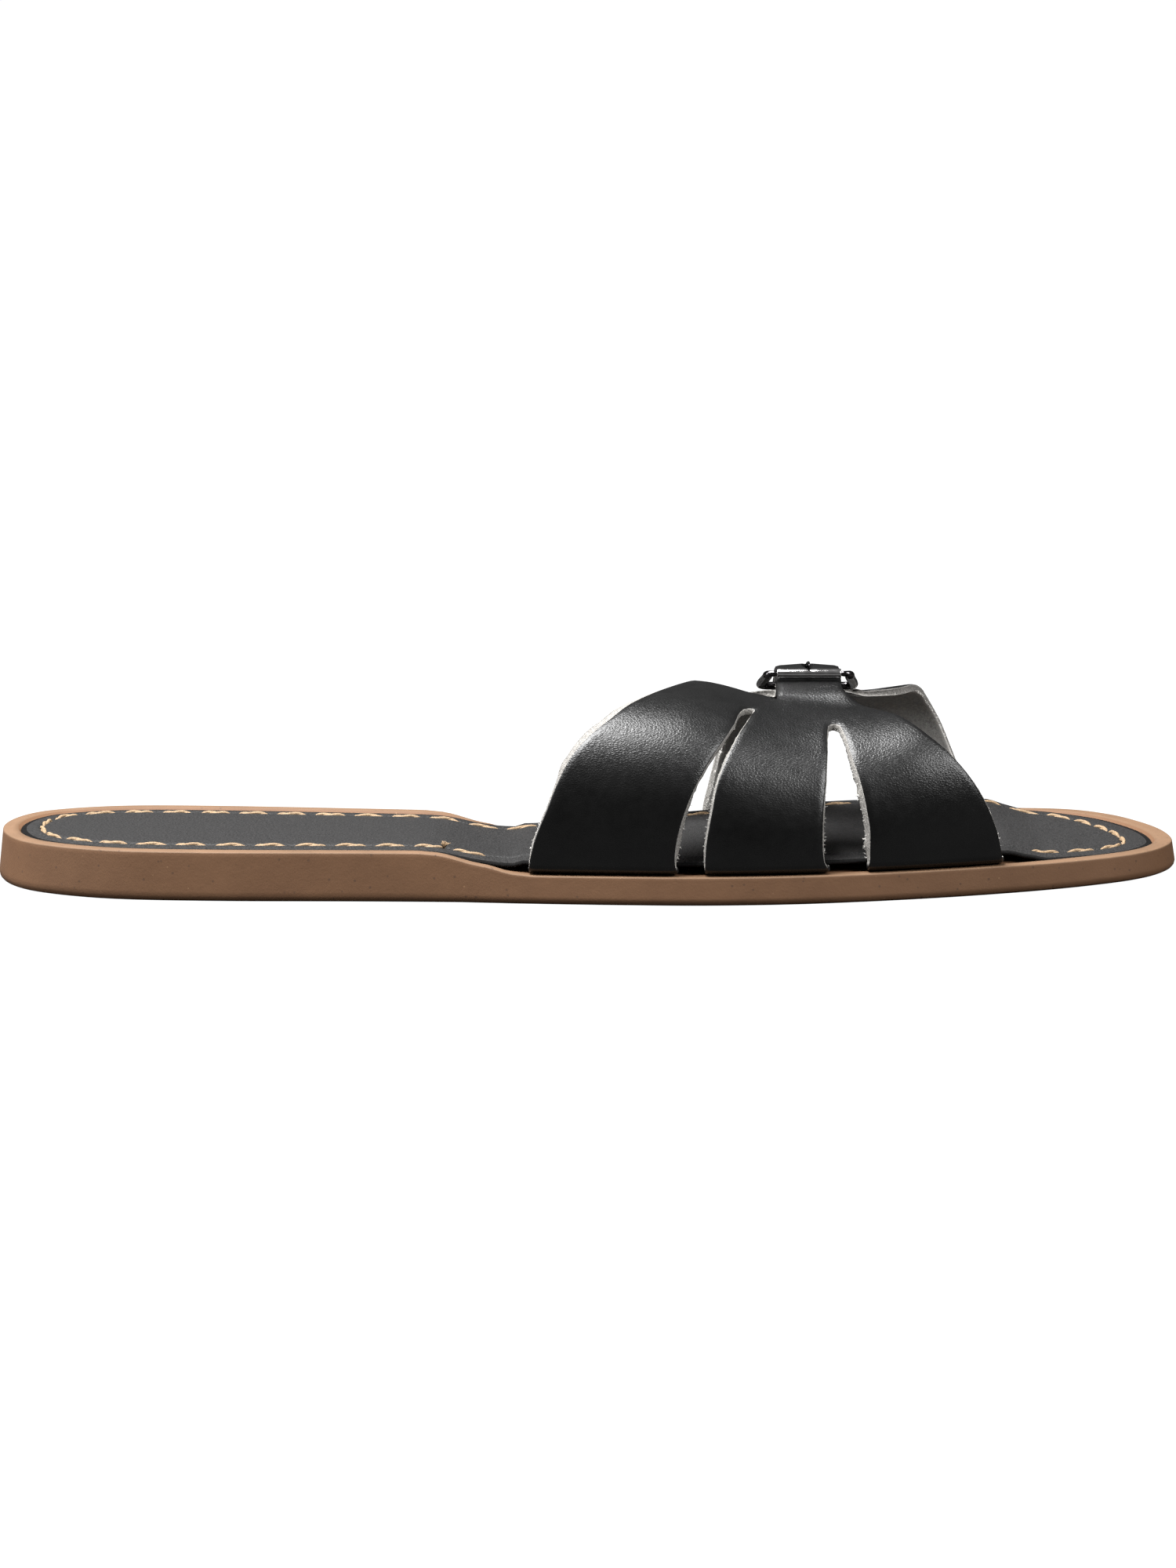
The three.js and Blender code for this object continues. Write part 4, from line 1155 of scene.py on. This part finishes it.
def build_stitches():
    """Two twisted plies a stitch, all round but for the part under the lateral legs."""
    rng = np.random.default_rng(23)
    path, length = seam()
    count = round(length[-1] / STITCH_PITCH)
    pitch = length[-1] / count
    parts = []
    for k in range(count):
        centre = pitch * (k + 0.5)
        middle = on_path(path, length, centre)
        if middle[1] < 0 and UNSEWN[0] < middle[0] < UNSEWN[1]:
            continue
        size = pitch * STITCH_SHARE * rng.uniform(0.94, 1.04)
        turn = rng.uniform(0, math.pi)
        for ply in range(2):
            t = np.linspace(-0.5, 0.5, PLY_STEPS)
            line = on_path(path, length, centre + t * size)
            ahead = on_path(path, length, centre + t * size + 0.2) - line
            across = unit(np.cross(ahead, [0, 0, 1.0]))
            taper = np.sqrt(np.clip(1 - (np.abs(t) * 2) ** 3.2, 0, 1))
            twist = turn + ply * math.pi + t * PLY_TWIST
            aside = PLY_OFFSET * taper
            line = line + across * np.cos(twist)[:, None] * aside[:, None]
            line[:, 2] += np.sin(twist) * aside - PLY_DIP * np.abs(t * 2) ** 5
            parts.append(rod(line, PLY_END_RADIUS + PLY_SWELL * taper, 8))
    parts += thread_end(rng)
    make_piece("insole_stitches", *joined(parts), [THREAD], None, "insole")


# Buckle

ARM_FLARE = 0.13
ARM_SIZE = (1.1, 0.95)
ARM_STEPS, CORNER_STEPS = 8, 12
AXLE_SIZE, AXLE_END_SIZE = 0.55, 0.62
BEND = 1.6
FRAME_SIDES = 20


def build_frame():
    """Bar and axle joined by flattened arms that spread towards the bar."""
    slope = math.atan2(BAR_Z - ROLLER_Z, BAR_Y - ROLLER_Y)
    depth = math.hypot(BAR_Z - ROLLER_Z, BAR_Y - ROLLER_Y)
    points, sizes = [], []

    def lay(x, v, size):
        x *= 1 + ARM_FLARE * float(ease(v / depth, 0.1, 0.8))
        points.append((STRAP_CENTRE + x, ROLLER_Y + v * math.cos(slope), ROLLER_Z + v * math.sin(slope)))
        sizes.append(size)

    def corner(k, side, far):
        """A quarter turn; k counts the quarters, and the far ones lead to the bar."""
        for step in range(CORNER_STEPS + 1):
            turned = step / CORNER_STEPS
            angle = math.pi + math.pi / 2 * (k + turned)
            from_arm = smooth(turned) if k in (0, 2) else 1 - smooth(turned)
            end = BAR_RADIUS if far else AXLE_END_SIZE
            size = tuple(float(mix(wide, end, from_arm)) for wide in ARM_SIZE)
            lay(side * (FRAME_HALF_WIDTH - BEND) + BEND * math.cos(angle),
                (depth - BEND if far else BEND) + BEND * math.sin(angle), size)

    def arm(side, start, end):
        for t in np.linspace(start, end, ARM_STEPS):
            lay(side * FRAME_HALF_WIDTH, mix(BEND, depth - BEND, t), ARM_SIZE)

    corner(0, -1, False)
    for x in np.linspace(-ROLLER_LENGTH / 2 - 0.2, ROLLER_LENGTH / 2 + 0.2, 5):
        lay(x, 0, (AXLE_SIZE, AXLE_SIZE))
    corner(1, 1, False)
    arm(1, 0.12, 0.88)
    corner(2, 1, True)
    corner(3, -1, True)
    arm(-1, 0.88, 0.12)
    vertices, faces = rod(points, 1.0, FRAME_SIDES, closed=True, flatten=sizes, start=(1, 0, 0))
    make_piece("buckle_wire_frame", vertices, faces, [DARKENED_CHROME], None, "buckle", ("buckle_frame",))


ROLLER_SIDES = 48
# Rounded end of the roller, and the shallow groove in its middle: place and radius
ROLLER_END = ((0, 0.85), (0, 1.02), (0.06, 1.09), (0.2, ROLLER_RADIUS))
ROLLER_GROOVE = ((-0.5, ROLLER_RADIUS), (-0.25, 1.1), (0, 1.06), (0.25, 1.1), (0.5, ROLLER_RADIUS))


def build_roller():
    half = ROLLER_LENGTH / 2
    profile = [(x - half, r) for x, r in ROLLER_END] + list(ROLLER_GROOVE)
    profile += [(half - x, r) for x, r in reversed(ROLLER_END)]
    across, up = np.cos(full_turn(ROLLER_SIDES)), np.sin(full_turn(ROLLER_SIDES))
    rings = []
    for x, r in profile:
        station = np.full(ROLLER_SIDES, STRAP_CENTRE + x)
        rings.append(np.column_stack([station, ROLLER_Y + r * across, ROLLER_Z + r * up]))
    faces = ring_faces(ROLLER_SIDES, len(rings)) + closing_faces(ROLLER_SIDES, len(rings))
    points = np.concatenate(rings)
    make_piece("buckle_roller_tube", points, faces, [ROLLER_CHROME], None, "buckle", ("buckle_roller",))


PRONG_PIN = [(12.8, 43.2), (11.4, 44.4), (9.6, 45.6), (7, 46.5), (4, 47.1), (1, 47.3), (-0.9, 47.2)]
PRONG_STEPS, PRONG_SIDES = 90, 16
PRONG_TAPER, PRONG_TIP_SHARE = 16, 0.3


def build_prong():
    """A hook round the bar, and a pin that tapers to its tip."""
    hook = around_bar(BAR_RADIUS + GAP + PRONG_RADIUS, range(-150, 61, 21))
    y, z, length = smooth_path(hook + PRONG_PIN, PRONG_STEPS)
    points = np.column_stack([np.full(len(y), STRAP_CENTRE), y, z])
    size = PRONG_RADIUS * mix(PRONG_TIP_SHARE, 1, smooth((length[-1] - length) / PRONG_TAPER))
    vertices, faces = rod(points, size, PRONG_SIDES)
    make_piece("buckle_prong_wire", vertices, faces, [DARKENED_CHROME], None, "buckle", ("buckle_prong",))


build_outsole()
build_insole()
build_stitches()
LATERAL = leather_panel(LATERAL_PANEL, "lateral_leather", [GRAIN, CUT_EDGE, FLESH], ("lateral_upper",))
MEDIAL = leather_panel(MEDIAL_PANEL, "medial_leather", [GRAIN, CUT_EDGE, FLESH], ("medial_upper",))
make_piece("edge_fibres", *joined(FIBRES), [FIBRE], None, "upper")
punch(LATERAL, y=11.7, length=5.8, z=44.2, height=5)
punch(MEDIAL, y=12.4, length=9.6, z=BAR_Z + 0.2, height=6.6)
build_frame()
build_roller()
build_prong()

# Floor, light and camera, in metres

FLOOR_HALF = 6
# Place, aim, size and power in watts of each soft box
SOFT_BOXES = dict(
    rear_box=((-0.3, -0.08, 0.92), (0.02, 0, 0.02), (0.55, 0.65), 42),
    front_box=((0.66, -0.42, 0.62), (0.02, 0, 0.02), (0.3, 0.5), 9),
    heel_box=((-0.8, -0.25, 0.3), (-0.1, 0, 0.01), (0.3, 0.4), 3),
)
# Strength of the surroundings, from level directions to high ones
WORLD_RAMP = (0.0, 0.9, 0.05, 0.16)
CAMERA_AIM = (130, 0, 20.5)
CAMERA_ABOVE, CAMERA_AWAY, CAMERA_LENS = 9.5, 1.3, 134.55


def build_floor():
    ring = FLOOR_HALF * np.array([(-1, -1, 0), (1, -1, 0), (1, 1, 0), (-1, 1, 0)])
    floor = add_mesh("floor", ring, [range(4)], plain_floor())


def soft_light(name, location, aim, size, power):
    data = bpy.data.lights.new(name, "AREA")
    data.shape = "RECTANGLE"
    data.size, data.size_y = size
    data.energy = power
    light = add_object(name, data)
    light.location = location
    light.rotation_euler = (Vector(aim) - Vector(location)).to_track_quat("-Z", "Y").to_euler()


def build_world():
    """Dim even light, stronger from above, behind a backdrop that is seen as white."""
    world = bpy.data.worlds.new("studio")
    world.use_nodes = True
    nodes = Nodes(world.node_tree)
    where = nodes.node("ShaderNodeTexCoord").outputs["Generated"]
    height = nodes.node("ShaderNodeSeparateXYZ", {"Vector": where}).outputs["Z"]
    strength = nodes.maths("MAXIMUM", nodes.remap(height, *WORLD_RAMP), nodes.seen())
    background = nodes.tree.nodes["Background"]
    nodes.plug(background.inputs["Strength"], strength)
    nodes.plug(background.inputs["Color"], (1, 1, 1, 1))
    bpy.context.scene.world = world
    bpy.context.scene.view_settings.view_transform = "Standard"


def build_camera():
    above = math.radians(CAMERA_ABOVE)
    data = bpy.data.cameras.new("camera")
    data.sensor_width = 36
    data.lens = CAMERA_LENS
    data.clip_start = 0.05
    camera = add_object("camera", data)
    camera.location = place(CAMERA_AIM) + CAMERA_AWAY * np.array([0, -math.cos(above), math.sin(above)])
    camera.rotation_euler = (math.pi / 2 - above, 0, 0)
    bpy.context.scene.camera = camera


build_floor()
build_world()
for box_name, box in SOFT_BOXES.items():
    soft_light(box_name, *box)
build_camera()
